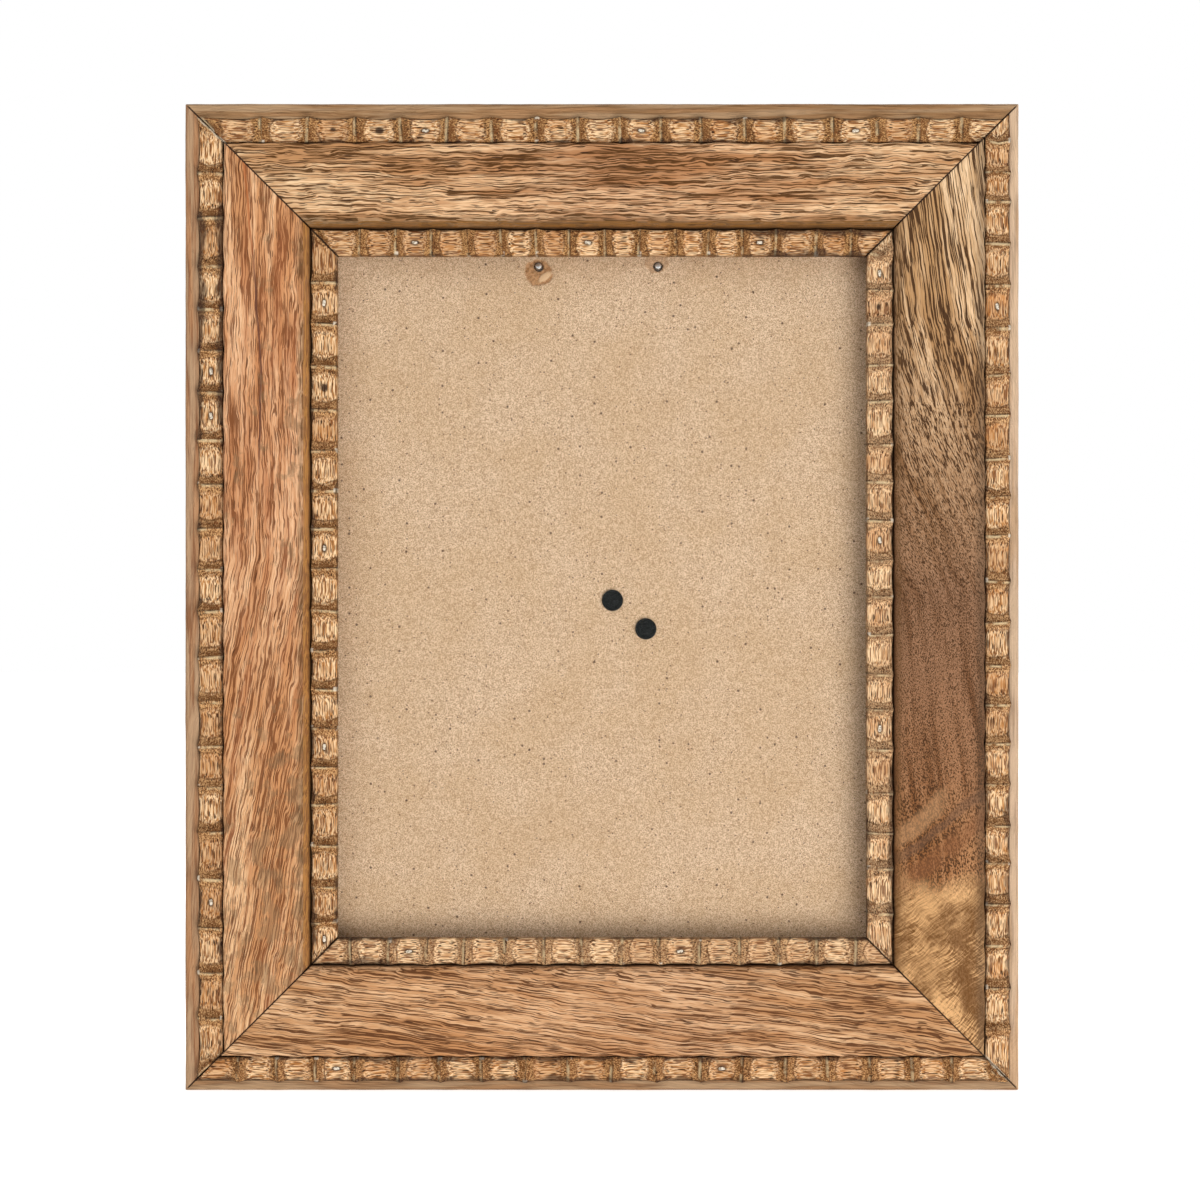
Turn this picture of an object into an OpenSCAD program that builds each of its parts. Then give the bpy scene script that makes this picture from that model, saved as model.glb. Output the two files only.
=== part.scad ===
// Carved wooden picture frame for an 8 by 10 inch print.
// Four mitred rails of one moulding carry two rings of gouge-carved bead strips.
// The rebate behind them holds the glass and a fibreboard back, kept in by turn buttons.
// A two-way easel leg and a sawtooth hanger are fixed to the back.
// The frame stands upright on its bottom rail: X to the right, Y to the rear, Z up.
// The origin is the middle of the flat underside. Lengths are in millimetres.

/* [Glass and rebate] */
// Width of the glass
glass_w = 203; // [180:1:330]
// Height of the glass
glass_h = 254; // [235:1:420]
// Thickness of the glass
glass_t = 2; // [1.5:0.1:3]
// Play round the glass and the back in the rebate, on each side
glass_play = 0.75; // [0.3:0.05:1.5]
// Width of the rebate in the left and right rails
rebate_side = 7.25; // [4:0.25:9]
// Width of the rebate in the top and bottom rails
rebate_end = 5.25; // [4:0.25:9]
// Space between glass and back for the print and the fastenings
print_gap = 1.7; // [1.6:0.1:4]

/* [Moulding] */
// Width of a rail, from the outer edge to the sight edge
rail_w = 55; // [50:0.5:80]
// Height of the crowned band above the rear face
band_h = 18.5; // [16:0.5:26]
// Rise of the band's crown over its width
band_crown = 0.8; // [0.3:0.1:1.5]
// Radius of the band's outer edge
band_outer_r = 1.2; // [0.6:0.1:2]
// Radius of the band's inner edge
band_inner_r = 3; // [1:0.1:4]
// Height of the outer land above the rear face
land_h = 14; // [13:0.5:17]
// Radius of the land's outer corner
land_r = 1.5; // [0.5:0.1:2.5]
// Width of the outer land on the top rail
land_top = 5.8; // [3:0.1:8]
// Width of the outer land on the left rail
land_left = 5.3; // [3:0.1:8]
// Width of the outer land on the bottom rail
land_bottom = 3.9; // [3:0.1:8]
// Width of the outer land on the right rail
land_right = 3.8; // [3:0.1:8]
// Height of the outer bead's bed above the rear face
outer_bed_h = 12.3; // [10:0.1:13]
// Thickness of the lip between the rebate and the inner bead
lip_t = 4.6; // [2.8:0.1:6]
// How far the lip stands back from the inner bead's edge
lip_back = 1; // [0.5:0.1:2]
// Width of the open line at each mitre
mitre_open = 0.1; // [0.04:0.02:0.4]

/* [Carved beads] */
// Width of the outer bead
outer_bead_w = 9.2; // [7:0.1:11]
// Width of the inner bead
inner_bead_w = 9.7; // [7:0.1:12]
// Height of the outer bead above its bed
outer_bead_h = 5; // [3.6:0.1:6]
// Height of the inner bead above its bed
inner_bead_h = 5; // [3.6:0.1:6]
// Play beside a bead in its bed
bead_play = 0.15; // [0.05:0.05:0.4]
// Rise of the bead's dome over its width
bead_dome = 0.6; // [0.3:0.1:0.9]
// Depth of a gouge scoop below the crests
scoop_depth = 2.6; // [1:0.1:3]
// Width of the crest left between two scoops
crest_w = 0.9; // [0.6:0.1:2]
// Carving runs: start margin, end margin, spacing of the crests, drift at mid-length
// Outer bead, bottom rail, from the left end
outer_bottom_run = [9.6, 14.2, 15.2, -1.7]; // [-5:0.1:30]
// Outer bead, left rail, from the upper end
outer_left_run = [16.7, 17.7, 15.8, -1.7]; // [-5:0.1:30]
// Outer bead, top rail, from the right end
outer_top_run = [11.3, 19, 15.5, -2.8]; // [-5:0.1:30]
// Outer bead, right rail, from the lower end
outer_right_run = [15, 13.5, 14.7, -1.8]; // [-5:0.1:30]
// Inner bead, bottom rail, from the left end
inner_bottom_run = [9.7, 8.3, 14, -0.4]; // [-5:0.1:30]
// Inner bead, left rail, from the upper end
inner_left_run = [14.9, 10.8, 14.3, 2.5]; // [-5:0.1:30]
// Inner bead, top rail, from the right end
inner_top_run = [11, 13.8, 12.5, 0.1]; // [-5:0.1:30]
// Inner bead, right rail, from the lower end
inner_right_run = [15.4, 16.6, 13.9, 1]; // [-5:0.1:30]

/* [Fastenings] */
// Length of a brad's head, along the bead
brad_head_l = 2.4; // [1.6:0.1:3]
// Width of a brad's head and thickness of its shank
brad_w = 1.1; // [0.8:0.1:1.6]
// Thickness of a brad's head
brad_head_t = 0.5; // [0.3:0.1:0.8]
// How far a brad holds in the rail under the outer bead
outer_brad_bite = 6; // [2:0.5:8]
// How far a brad holds in the lip under the inner bead
inner_brad_bite = 3.6; // [1:0.1:4]
// Thickness of a corner nail's steel
corner_nail_t = 0.5; // [0.3:0.1:0.8]
// Length of each wing of a corner nail
corner_nail_wing = 5; // [3:0.5:7]
// Angle between the two wings of a corner nail
corner_nail_angle = 100; // [90:1:120]
// Depth of a corner nail in the rails
corner_nail_depth = 7; // [4:0.5:9]
// Distance of the outer corner nail from the frame's corner, along the mitre
corner_nail_first = 22; // [14:1:26]
// Distance between the two nails of a corner, along the mitre
corner_nail_step = 24; // [14:1:26]
// Play round a driven nail in its pocket
nail_play = 0.05; // [0.02:0.01:0.1]

/* [Back] */
// Thickness of the fibreboard back
board_t = 3; // [2:0.1:5]
// How far the back lies below the rear faces of the rails
board_sink = 0.3; // [0.1:0.1:1]
// Distance of the board rivets' middle from the middle of the frame, to the right
rivet_x = 9.9; // [-20:0.1:30]
// Distance of the board rivets' middle from the middle of the frame, upwards
rivet_z = -6.4; // [-40:0.1:40]
// Distance between the two rivets of a leaf
rivet_span = 16; // [11:0.1:22]
// Radius of a rivet's shank
rivet_r = 1.6; // [1.2:0.1:2]
// Radius of a rivet's made head
rivet_head_r = 3.9; // [3:0.05:4.5]
// Thickness of a board rivet's made head
rivet_head_t = 1.1; // [0.8:0.1:1.4]
// Radius of a rivet's set end
rivet_set_r = 2.75; // [2.3:0.05:3.2]
// Thickness of a rivet's set end
rivet_set_t = 0.8; // [0.5:0.1:1.2]
// Play round a shank in its hole
shank_play = 0.05; // [0.02:0.01:0.1]
// Nip off each corner of the glass and the back
panel_nip = 1.2; // [0.5:0.1:3]

/* [Easel leg] */
// Thickness of the leg
leg_t = 2.6; // [2.2:0.1:4]
// Width of the leg at the hinge
leg_top_w = 34; // [28:1:44]
// Width of the leg near its foot
leg_foot_w = 44; // [30:1:56]
// Space between the rails and the folded leg
leg_space = 0.4; // [0.2:0.1:1]
// Distance of the foot's point from the frame's left side
foot_side = 18.3; // [10:0.1:40]
// Distance of the foot's point from the frame's underside
foot_base = 5.3; // [3:0.1:30]
// Opening angle of the leg
leg_open = 33; // [25:1:45]
// Angle past the opening at which the heel would meet the board leaf
heel_spare = 1; // [0.5:0.5:3]
// Thickness of the hinge leaves
leaf_t = 0.8; // [0.6:0.1:1.2]
// Width of the hinge
hinge_w = 26; // [22:0.5:34]
// Width of the leg leaf's knuckle
knuckle_w = 10; // [6:0.5:12]
// Radius of the hinge pin
pin_r = 1; // [0.7:0.05:1.1]
// Running play round the hinge pin
pin_play = 0.05; // [0.02:0.01:0.1]
// Side and end play between knuckles and leaves
knuckle_play = 0.25; // [0.15:0.05:0.4]
// Radius of the leaves' corners
leaf_corner_r = 2.5; // [1:0.1:4]
// Steel left between a rivet's head and the leaf's edge
leaf_margin = 1.6; // [1:0.1:3]
// Space between the heel and the rivets' set ends
heel_space = 1.1; // [0.5:0.1:2]
// Radius of the pin's heads
pin_head_r = 1.5; // [1.2:0.05:1.8]
// Thickness of the pin's heads
pin_head_t = 0.6; // [0.4:0.1:1]
// Space between a pin's head and the leaf
pin_side_play = 0.1; // [0.05:0.05:0.3]

/* [Turn buttons] */
// Distance between the upper and the lower turn button
button_spread = 140; // [100:1:160]
// Distance of a button's pivot from the rebate, over the rail
button_inset = 8; // [6:0.5:9]
// Length of a button from its pivot to its tip
button_reach = 16; // [14:0.5:20]
// Radius of a button round its pivot
button_r = 5; // [4:0.1:6]
// Radius of a button's tip
button_tip_r = 3.6; // [3:0.1:4]
// Thickness of a button
button_t = 1; // [0.8:0.1:1.6]
// Space under and over a button on its screw
button_space = 0.1; // [0.05:0.05:0.2]
// Radius of the screw's shank
screw_r = 1.5; // [1.2:0.1:2]
// Length of the screw under its head
screw_l = 10; // [6:0.5:12]
// Radius of the screw's head
screw_head_r = 3; // [2.5:0.1:3.5]
// Thickness of the screw's head
screw_head_t = 1.5; // [1:0.1:2]

/* [Sawtooth hanger] */
// Distance between the hanger's two nails
hanger_span = 43.5; // [36:1:60]
// Distance of the hanger's middle from the middle of the frame, to the right
hanger_x = -1.3; // [-10:0.1:10]
// Distance of the hanger's nails from the upper edge of the back
hanger_drop = 5.8; // [5.5:0.1:12]
// Height of the hanger
hanger_h = 9; // [7:0.5:12]
// Length of the hanger outside each nail
hanger_end = 4; // [3:0.5:8]
// Space between a nail's head and the bend beside it
hanger_bend_space = 0.6; // [0.3:0.1:2]
// Thickness of the hanger's steel
hanger_t = 0.8; // [0.5:0.1:1.2]
// How far the hanger's toothed middle stands off the back
hanger_offset = 1; // [0.6:0.1:2]
// Width of one tooth
tooth_w = 2; // [1.5:0.1:3]
// Depth of the teeth
tooth_h = 1.6; // [1:0.1:2.5]
// Radius of a hanger nail
hanger_nail_r = 1.2; // [0.9:0.05:1.4]
// How far a hanger nail comes through the back
hanger_nail_proud = 1.3; // [0.5:0.1:1.4]
// Radius of a hanger nail's head
hanger_nail_head_r = 2.4; // [2:0.1:3]
// Thickness of a hanger nail's head
hanger_nail_head_t = 0.7; // [0.5:0.1:1]

/* [Hidden] */
$fn = 72;

// A cut starts this far outside what it cuts
past = 1;

// Sides of the frame, as quarter turns from the bottom rail
BOTTOM = 0;
LEFT = 1;
TOP = 2;
RIGHT = 3;

// Openings and outer sizes follow from the glass
rebate_w = glass_w + 2 * glass_play;
rebate_h = glass_h + 2 * glass_play;
outer_w = rebate_w - 2 * rebate_side + 2 * rail_w;
outer_h = rebate_h - 2 * rebate_end + 2 * rail_w;
mid_z = outer_h / 2;

// Levels above the rear plane, towards the front
board_front_h = board_sink + board_t;
glass_rear_h = board_front_h + print_gap;
rebate_depth = glass_rear_h + glass_t;
inner_bed_h = rebate_depth + lip_t;
// Height of the flat underside, which the origin lies in the middle of
base_flat = land_h - land_r;
rear_y = base_flat / 2;

// Widths across a rail, from its outer edge
band_in = rail_w - inner_bead_w - bead_play;
function land_of(side) =
    side == BOTTOM ? land_bottom : side == LEFT ? land_left : side == TOP ? land_top : land_right;
function band_out(side) = land_of(side) + outer_bead_w + 2 * bead_play;
function rebate_of(side) = side % 2 == 0 ? rebate_end : rebate_side;
function rail_len(side) = side % 2 == 0 ? outer_w : outer_h;
function half_span(side) = side % 2 == 0 ? outer_h / 2 : outer_w / 2;

// Radius of an arc from its chord and its rise
function arc_r(chord, rise) = (chord * chord / 4 + rise * rise) / (2 * rise);

// Carving run and nailed scoops of each bead, by side
OUTER_RUNS = [outer_bottom_run, outer_left_run, outer_top_run, outer_right_run];
INNER_RUNS = [inner_bottom_run, inner_left_run, inner_top_run, inner_right_run];
OUTER_NAILED = [[2, 11], [4, 5, 16], [2, 7, 12], [17]];
INNER_NAILED = [[1, 8], [0, 6, 11, 16], [2, 7, 12], [4, 9, 16]];
function run_of(side, inner) = inner ? INNER_RUNS[side] : OUTER_RUNS[side];
function nailed_of(side, inner) = inner ? INNER_NAILED[side] : OUTER_NAILED[side];

// Place and section of a bead: its outer edge, width, bed level and height
function bead_u(side, inner) = inner ? rail_w - inner_bead_w : land_of(side) + bead_play;
function bead_w(inner) = inner ? inner_bead_w : outer_bead_w;
function bead_bed(inner) = inner ? inner_bed_h : outer_bed_h;
function bead_h(inner) = inner ? inner_bead_h : outer_bead_h;
function bead_len(side, inner) = rail_len(side) - 2 * bead_u(side, inner) - bead_w(inner);

// Crests along a bead, from its middle: even steps between the margins, drifting at mid-length
function crest_steps(side, inner) =
    let (run = run_of(side, inner))
    max(1, round((bead_len(side, inner) - run[0] - run[1]) / run[2]));
function crest_at(side, inner, i) =
    let (run = run_of(side, inner),
         steps = crest_steps(side, inner),
         step = (bead_len(side, inner) - run[0] - run[1]) / steps,
         share = min(max(i / steps, 0), 1))
    run[0] - bead_len(side, inner) / 2 + step * i + run[3] * sin(180 * share);
function scoop_mid(side, inner, i) = (crest_at(side, inner, i) + crest_at(side, inner, i + 1)) / 2;
function scoop_w(side, inner, i) =
    crest_at(side, inner, i + 1) - crest_at(side, inner, i) - crest_w;

// Hinge: both leaves lie tangent to the knuckles, one on the back and one on the leg
knuckle_r = (board_sink + leg_space + leg_t + leaf_t - knuckle_play / 2) / 2;
axis_rise = leg_space + leg_t + leaf_t - knuckle_r;
board_z = -axis_rise - board_sink;
board_leaf_top = board_z + leaf_t;
leg_outer = knuckle_r - leaf_t;
leg_inner = leg_outer - leg_t;
stop_angle = leg_open + heel_spare;
heel_l = (leg_outer * cos(stop_angle) - board_leaf_top) / sin(stop_angle);
rivet_back = heel_l + rivet_set_r + heel_space;
leaf_edge = rivet_head_r + leaf_margin;
board_leaf_l = rivet_back + leaf_edge;
leg_leaf_l = rivet_back + leaf_edge;
leg_start = knuckle_r + knuckle_play;
// A leg rivet's head takes at most this share of the space between leg and back
leg_head_share = 0.7;
leg_head_t = min(rivet_head_t, (leg_inner - board_z) * leg_head_share);

// The leg runs from the rivets to the foot's point, across the rivets' line
foot_x = foot_side - outer_w / 2;
leg_turn = atan2(foot_base - (mid_z + rivet_z), foot_x - rivet_x);
foot_reach = norm([foot_x - rivet_x, foot_base - (mid_z + rivet_z)]);
leg_l = foot_reach - rivet_back;
axis_x = rivet_x + rivet_back * cos(leg_turn);
axis_z = mid_z + rivet_z + rivet_back * sin(leg_turn);
echo("hinge axis", [axis_x, rear_y + axis_rise, axis_z], "direction", [-sin(leg_turn), 0, cos(leg_turn)]);

// Turn buttons and hanger
button_x = rebate_w / 2 + button_inset;
board_bottom = rail_w - rebate_end;
board_top = board_bottom + glass_h;
hanger_z = board_top - hanger_drop;
echo("outer", [outer_w, outer_h], "rear", rear_y, "button x", button_x, "hanger z", hanger_z);

// Places what is drawn with u, v and the run along x, y and z on one side of the frame
module on_side(side) {
    translate([0, rear_y, mid_z])
        rotate([0, 90 * side, 0])
            translate([0, 0, -half_span(side)])
                rotate([0, -90, 180]) children();
}

// Extrudes a shape drawn over u and the run towards the front, from one level to another
module raise(from, to) {
    rotate([90, 0, 0]) translate([0, 0, -to]) linear_extrude(to - from) children();
}

// Keeps what lies between the two mitre planes of a side
module mitred(side) {
    half = rail_len(side) / 2 - mitre_open / sqrt(2);
    out = past;
    in = rail_w + past;
    intersection() {
        children();
        raise(-past, band_h + past)
            polygon([[-out, -half - out], [in, -half + in], [in, half - in], [-out, half + out]]);
    }
}

// Section of a rail: u from its outer edge, v from its rear face
module moulding(side) {
    difference() {
        union() {
            polygon([
                [0, 0], [rail_w - rebate_of(side), 0], [rail_w - rebate_of(side), rebate_depth],
                [rail_w - lip_back, rebate_depth], [rail_w - lip_back, inner_bed_h],
                [band_in, inner_bed_h],
                [band_in, outer_bed_h], [land_of(side), outer_bed_h], [land_of(side), land_h],
                [0, land_h]
            ]);
            band(band_out(side), band_in);
        }
        translate([0, land_h - land_r]) difference() {
            translate([-past, 0]) square([land_r + past, land_r + past]);
            translate([land_r, 0]) circle(land_r);
        }
    }
}

// The raised band: a crowned top with a rounded edge on each side
module band(from, to) {
    crown_r = arc_r(to - from, band_crown);
    mid = (from + to) / 2;
    half = (to - from) / 2;
    base = rebate_depth;
    translate([mid, 0]) difference() {
        intersection() {
            translate([-half, base]) square([2 * half, band_h - base]);
            translate([0, band_h - crown_r]) circle(crown_r, $fn = 240);
        }
        mirror([1, 0]) edge_cut(half, band_outer_r, crown_r);
        edge_cut(half, band_inner_r, crown_r);
    }
}

// What a rounded edge takes off the corner between the crown and the band's side
module edge_cut(half, r, crown_r) {
    // The rounding starts this little above the crown, so that the two arcs cross
    rise = 0.01;
    cx = half - r;
    cy = band_h - crown_r + sqrt(crown_r * crown_r - cx * cx) + rise - r;
    translate([cx, cy]) difference() {
        square(r + past);
        circle(r);
    }
}

// Outline of a corner nail: two wings that meet on the mitre
module nail_outline(t, wing) {
    for (turn = [-1, 1])
        rotate(180 + turn * corner_nail_angle / 2)
            translate([-t / 2, -t / 2]) square([wing, t]);
}

// The two corner nails at one end of a side, or their pockets
module corner_pair(side, play) {
    for (k = [0, 1])
        translate([0, 0, -rail_len(side) / 2]) raise(-play, corner_nail_depth + play)
            rotate(45) translate([corner_nail_first + k * corner_nail_step, 0])
                nail_outline(corner_nail_t + 2 * play, corner_nail_wing + play);
}

// The brads of one bead, or their holes; the last scoop lies between the last crest and the mitre
module brads(side, inner, play) {
    u = bead_u(side, inner) + bead_w(inner) / 2;
    top = bead_bed(inner) + bead_h(inner) - scoop_depth - brad_head_t;
    tip = bead_bed(inner) - (inner ? inner_brad_bite : outer_brad_bite);
    wide = brad_w + 2 * play;
    for (i = nailed_of(side, inner))
        if (i <= crest_steps(side, inner))
            translate([u, 0, scoop_mid(side, inner, i)]) {
                translate([-wide / 2, top - play, -brad_head_l / 2 - play])
                    cube([wide, brad_head_t + play, brad_head_l + 2 * play]);
                translate([-wide / 2, tip - play, -wide / 2])
                    cube([wide, top - tip + play, wide]);
            }
}

// One rail with its rebate, pockets for nails and brads, and screw holes on the long sides
module rail(side) {
    color("peru") on_side(side) difference() {
        mitred(side) linear_extrude(rail_len(side), center = true) moulding(side);
        corner_pair(side, nail_play);
        mirror([0, 0, 1]) corner_pair(side, nail_play);
        brads(side, false, nail_play);
        brads(side, true, nail_play);
        if (side % 2 == 1)
            for (end = [-1, 1])
                translate([rail_w - rebate_side - button_inset, 0, end * button_spread / 2])
                    rotate([-90, 0, 0]) translate([0, 0, -past])
                        cylinder(r = screw_r + shank_play, h = screw_l + past);
    }
}

// One carved bead: a low dome, scooped across with a gouge from crest to crest
module bead(side, inner) {
    w = bead_w(inner);
    h = bead_h(inner);
    dome_r = arc_r(w, bead_dome);
    color("burlywood") on_side(side) difference() {
        mitred(side)
            translate([bead_u(side, inner), bead_bed(inner), 0])
                linear_extrude(rail_len(side), center = true) intersection() {
                    square([w, h]);
                    translate([w / 2, h - dome_r]) circle(dome_r);
                }
        for (i = [-2 : crest_steps(side, inner) + 1]) {
            r = arc_r(scoop_w(side, inner, i), scoop_depth);
            translate([bead_u(side, inner) + w / 2,
                       bead_bed(inner) + h - scoop_depth + r, scoop_mid(side, inner, i)])
                rotate([0, 90, 0]) cylinder(r = r, h = w + 2 * past, center = true);
        }
        brads(side, inner, nail_play);
    }
}

module bead_brads() {
    color("silver") for (side = [BOTTOM : RIGHT]) on_side(side) {
        brads(side, false, 0);
        brads(side, true, 0);
    }
}

module corner_nails() {
    color("gray") for (side = [BOTTOM : RIGHT]) on_side(side) corner_pair(side, 0);
}

// A pane or panel that stands in the rebate, with nipped corners
module panel(from, to) {
    nip = panel_nip;
    w = glass_w / 2;
    translate([0, rear_y, board_bottom]) rotate([90, 0, 0]) translate([0, 0, from])
        linear_extrude(to - from) polygon([[nip - w, 0], [w - nip, 0], [w, nip], [w, glass_h - nip],
                 [w - nip, glass_h], [nip - w, glass_h], [-w, glass_h - nip], [-w, nip]]);
}

module glass_pane() {
    color("lightblue", 0.4) panel(glass_rear_h, rebate_depth);
}

module backboard() {
    color("tan") difference() {
        panel(board_sink, board_front_h);
        on_hinge() rivet_places(-rivet_back)
            translate([0, 0, board_z - board_t - past])
                cylinder(r = rivet_r + shank_play, h = board_t + 2 * past);
        hanger_places() translate([0, 0, -board_front_h - past])
            cylinder(r = hanger_nail_r + shank_play, h = board_t + 2 * past);
    }
}

// Places what is drawn with z to the rear at the two nails of the hanger, from the rear plane
module hanger_places() {
    for (end = [-1, 1])
        translate([hanger_x + end * hanger_span / 2, rear_y, hanger_z]) rotate([-90, 0, 0])
            children();
}

// The hanger: a strip bent out in the middle, with teeth cut in its lower edge
module hanger_plate() {
    half = hanger_span / 2 + hanger_end;
    slope = hanger_offset;
    inner = hanger_span / 2 - hanger_nail_head_r - hanger_bend_space - slope;
    teeth = floor(2 * (inner - tooth_w) / tooth_w);
    color("silver") translate([hanger_x, rear_y - board_sink, hanger_z]) difference() {
        translate([0, 0, -hanger_h / 2]) linear_extrude(hanger_h)
            polygon([[-half, 0], [-inner - slope, 0], [-inner, hanger_offset],
                     [inner, hanger_offset], [inner + slope, 0], [half, 0], [half, hanger_t],
                     [inner + slope, hanger_t], [inner, hanger_offset + hanger_t],
                     [-inner, hanger_offset + hanger_t], [-inner - slope, hanger_t],
                     [-half, hanger_t]]);
        rotate([90, 0, 0]) translate([0, 0, -hanger_offset - hanger_t - past])
            linear_extrude(hanger_offset + hanger_t + 2 * past)
                for (i = [0 : teeth - 1])
                    translate([(i - teeth / 2) * tooth_w, -hanger_h / 2])
                        polygon([[0, -past], [0, 0], [tooth_w / 2, tooth_h], [tooth_w, 0],
                                 [tooth_w, -past]]);
        for (end = [-1, 1])
            translate([end * hanger_span / 2, -past, 0]) rotate([-90, 0, 0])
                cylinder(r = hanger_nail_r + shank_play, h = hanger_t + 2 * past);
    }
}

module hanger_nails() {
    head_taper = 0.8;
    color("lightgray") hanger_places() {
        translate([0, 0, -board_front_h - hanger_nail_proud])
            cylinder(r = hanger_nail_r, h = board_t + hanger_nail_proud + hanger_t);
        translate([0, 0, hanger_t - board_sink])
            cylinder(r1 = hanger_nail_head_r, r2 = hanger_nail_head_r * head_taper,
                     h = hanger_nail_head_t);
    }
}

// Places what is drawn with x down the leg, y along the pin and z to the rear, from the pin
module on_hinge() {
    translate([axis_x, rear_y + axis_rise, axis_z]) rotate([-90, -leg_turn, 0]) children();
}

// The two rivets of a leaf, at a distance from the pin
module rivet_places(x) {
    for (end = [-1, 1]) translate([x, end * rivet_span / 2, 0]) children();
}

// A rivet from its made head at the front level to its set end past the rear level
module rivet(from, to, head_t) {
    // The made head is dished inside a raised rim: shares of its radius and thickness
    dish_r = rivet_head_r * 0.62;
    rim_in = rivet_head_r * 0.74;
    rim_out = rivet_head_r * 0.9;
    dish = from - head_t * 0.65;
    // The set end is hollow: shares of its radius and thickness
    set_top = rivet_set_r * 0.8;
    hollow_top = rivet_set_r * 0.45;
    hollow_floor = rivet_set_r * 0.3;
    floor_level = to + rivet_set_t * 0.5;
    rotate_extrude() polygon([
        [0, dish], [dish_r, dish], [rim_in, from - head_t], [rim_out, from - head_t],
        [rivet_head_r, dish], [rivet_head_r, from], [rivet_r, from], [rivet_r, to],
        [rivet_set_r, to], [set_top, to + rivet_set_t], [hollow_top, to + rivet_set_t],
        [hollow_floor, floor_level], [0, floor_level]
    ]);
}

module board_rivets() {
    color("dimgray") on_hinge() rivet_places(-rivet_back)
        rivet(board_z - board_t, board_leaf_top, rivet_head_t);
}

module leg_rivets() {
    color("dimgray") on_hinge() rivet_places(rivet_back) rivet(leg_inner, knuckle_r, leg_head_t);
}

// A leaf's outline from the pin outwards, with rounded far corners
module leaf_outline(l) {
    r = leaf_corner_r;
    translate([0, -hinge_w / 2]) square([l - r, hinge_w]);
    translate([0, r - hinge_w / 2]) square([l, hinge_w - 2 * r]);
    for (end = [-1, 1]) translate([l - r, end * (hinge_w / 2 - r)]) circle(r);
}

// A bored knuckle along the pin, centred at y
module knuckle(y, w) {
    translate([0, y, 0]) rotate([90, 0, 0]) cylinder(r = knuckle_r, h = w, center = true);
}

module pin_bore() {
    rotate([90, 0, 0]) cylinder(r = pin_r + pin_play, h = hinge_w + 2 * past, center = true);
}

module hinge_board_leaf() {
    gap_w = knuckle_w + 2 * knuckle_play;
    end_w = (hinge_w - gap_w) / 2;
    color("dimgray") on_hinge() difference() {
        union() {
            translate([0, 0, board_z]) linear_extrude(leaf_t) rotate(180)
                leaf_outline(board_leaf_l);
            for (end = [-1, 1]) knuckle(end * (gap_w + end_w) / 2, end_w);
        }
        pin_bore();
        translate([-knuckle_r - knuckle_play, -gap_w / 2, board_z - past])
            cube([2 * knuckle_r + 2 * past, gap_w, knuckle_r - board_z + 2 * past]);
        rivet_places(-rivet_back) translate([0, 0, board_z - past])
            cylinder(r = rivet_r + shank_play, h = leaf_t + 2 * past);
    }
}

module hinge_leg_leaf() {
    color("dimgray") on_hinge() difference() {
        union() {
            translate([0, 0, leg_outer]) linear_extrude(leaf_t) difference() {
                leaf_outline(leg_leaf_l);
                for (end = [-1, 1])
                    translate([-past, end * (knuckle_w + hinge_w) / 2 - hinge_w / 2])
                        square([past + knuckle_r + knuckle_play, hinge_w]);
            }
            translate([-heel_l, -knuckle_w / 2, leg_outer]) cube([heel_l, knuckle_w, leaf_t]);
            knuckle(0, knuckle_w);
        }
        pin_bore();
        rivet_places(rivet_back) translate([0, 0, leg_outer - past])
            cylinder(r = rivet_r + shank_play, h = leaf_t + 2 * past);
    }
}

module hinge_pin() {
    head_taper = 0.7;
    half = hinge_w / 2 + pin_side_play;
    color("silver") on_hinge() rotate([90, 0, 0]) {
        cylinder(r = pin_r, h = 2 * half, center = true);
        for (end = [0, 1]) mirror([0, 0, end]) translate([0, 0, half])
            cylinder(r1 = pin_head_r, r2 = pin_head_r * head_taper, h = pin_head_t);
    }
}

// The leg: it widens towards a foot cut square to the underside and to the left side
module easel_leg() {
    to_right = [cos(leg_turn), sin(leg_turn)];
    to_top = [sin(leg_turn), -cos(leg_turn)];
    far = leg_l;
    point = [leg_l, 0];
    color("saddlebrown") on_hinge() difference() {
        translate([0, 0, leg_inner]) linear_extrude(leg_t) intersection() {
            polygon([[leg_start, -leg_top_w / 2], [leg_l, -leg_foot_w / 2],
                     [leg_l, leg_foot_w / 2], [leg_start, leg_top_w / 2]]);
            polygon([point, point + far * to_right, point + far * (to_right + to_top),
                     point + far * to_top]);
        }
        rivet_places(rivet_back) translate([0, 0, leg_inner - past])
            cylinder(r = rivet_r + shank_play, h = leg_t + 2 * past);
    }
}

// Places what is drawn with z to the rear at a button's pivot, from the rear plane
module at_button(left, up) {
    translate([left ? -button_x : button_x, rear_y, mid_z + (up ? 1 : -1) * button_spread / 2])
        rotate([-90, left ? 0 : 180, 0]) children();
}

module turn_button(left, up) {
    tip_x = button_reach - button_tip_r;
    color("dimgray") at_button(left, up) translate([0, 0, button_space])
        linear_extrude(button_t) difference() {
            union() {
                circle(button_r);
                translate([tip_x, 0]) circle(button_tip_r);
                polygon([[0, -button_r], [tip_x, -button_tip_r], [tip_x, button_tip_r],
                         [0, button_r]]);
            }
            circle(screw_r + 2 * shank_play);
        }
}

module button_upper_left() { turn_button(true, true); }
module button_lower_left() { turn_button(true, false); }
module button_upper_right() { turn_button(false, true); }
module button_lower_right() { turn_button(false, false); }

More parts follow.
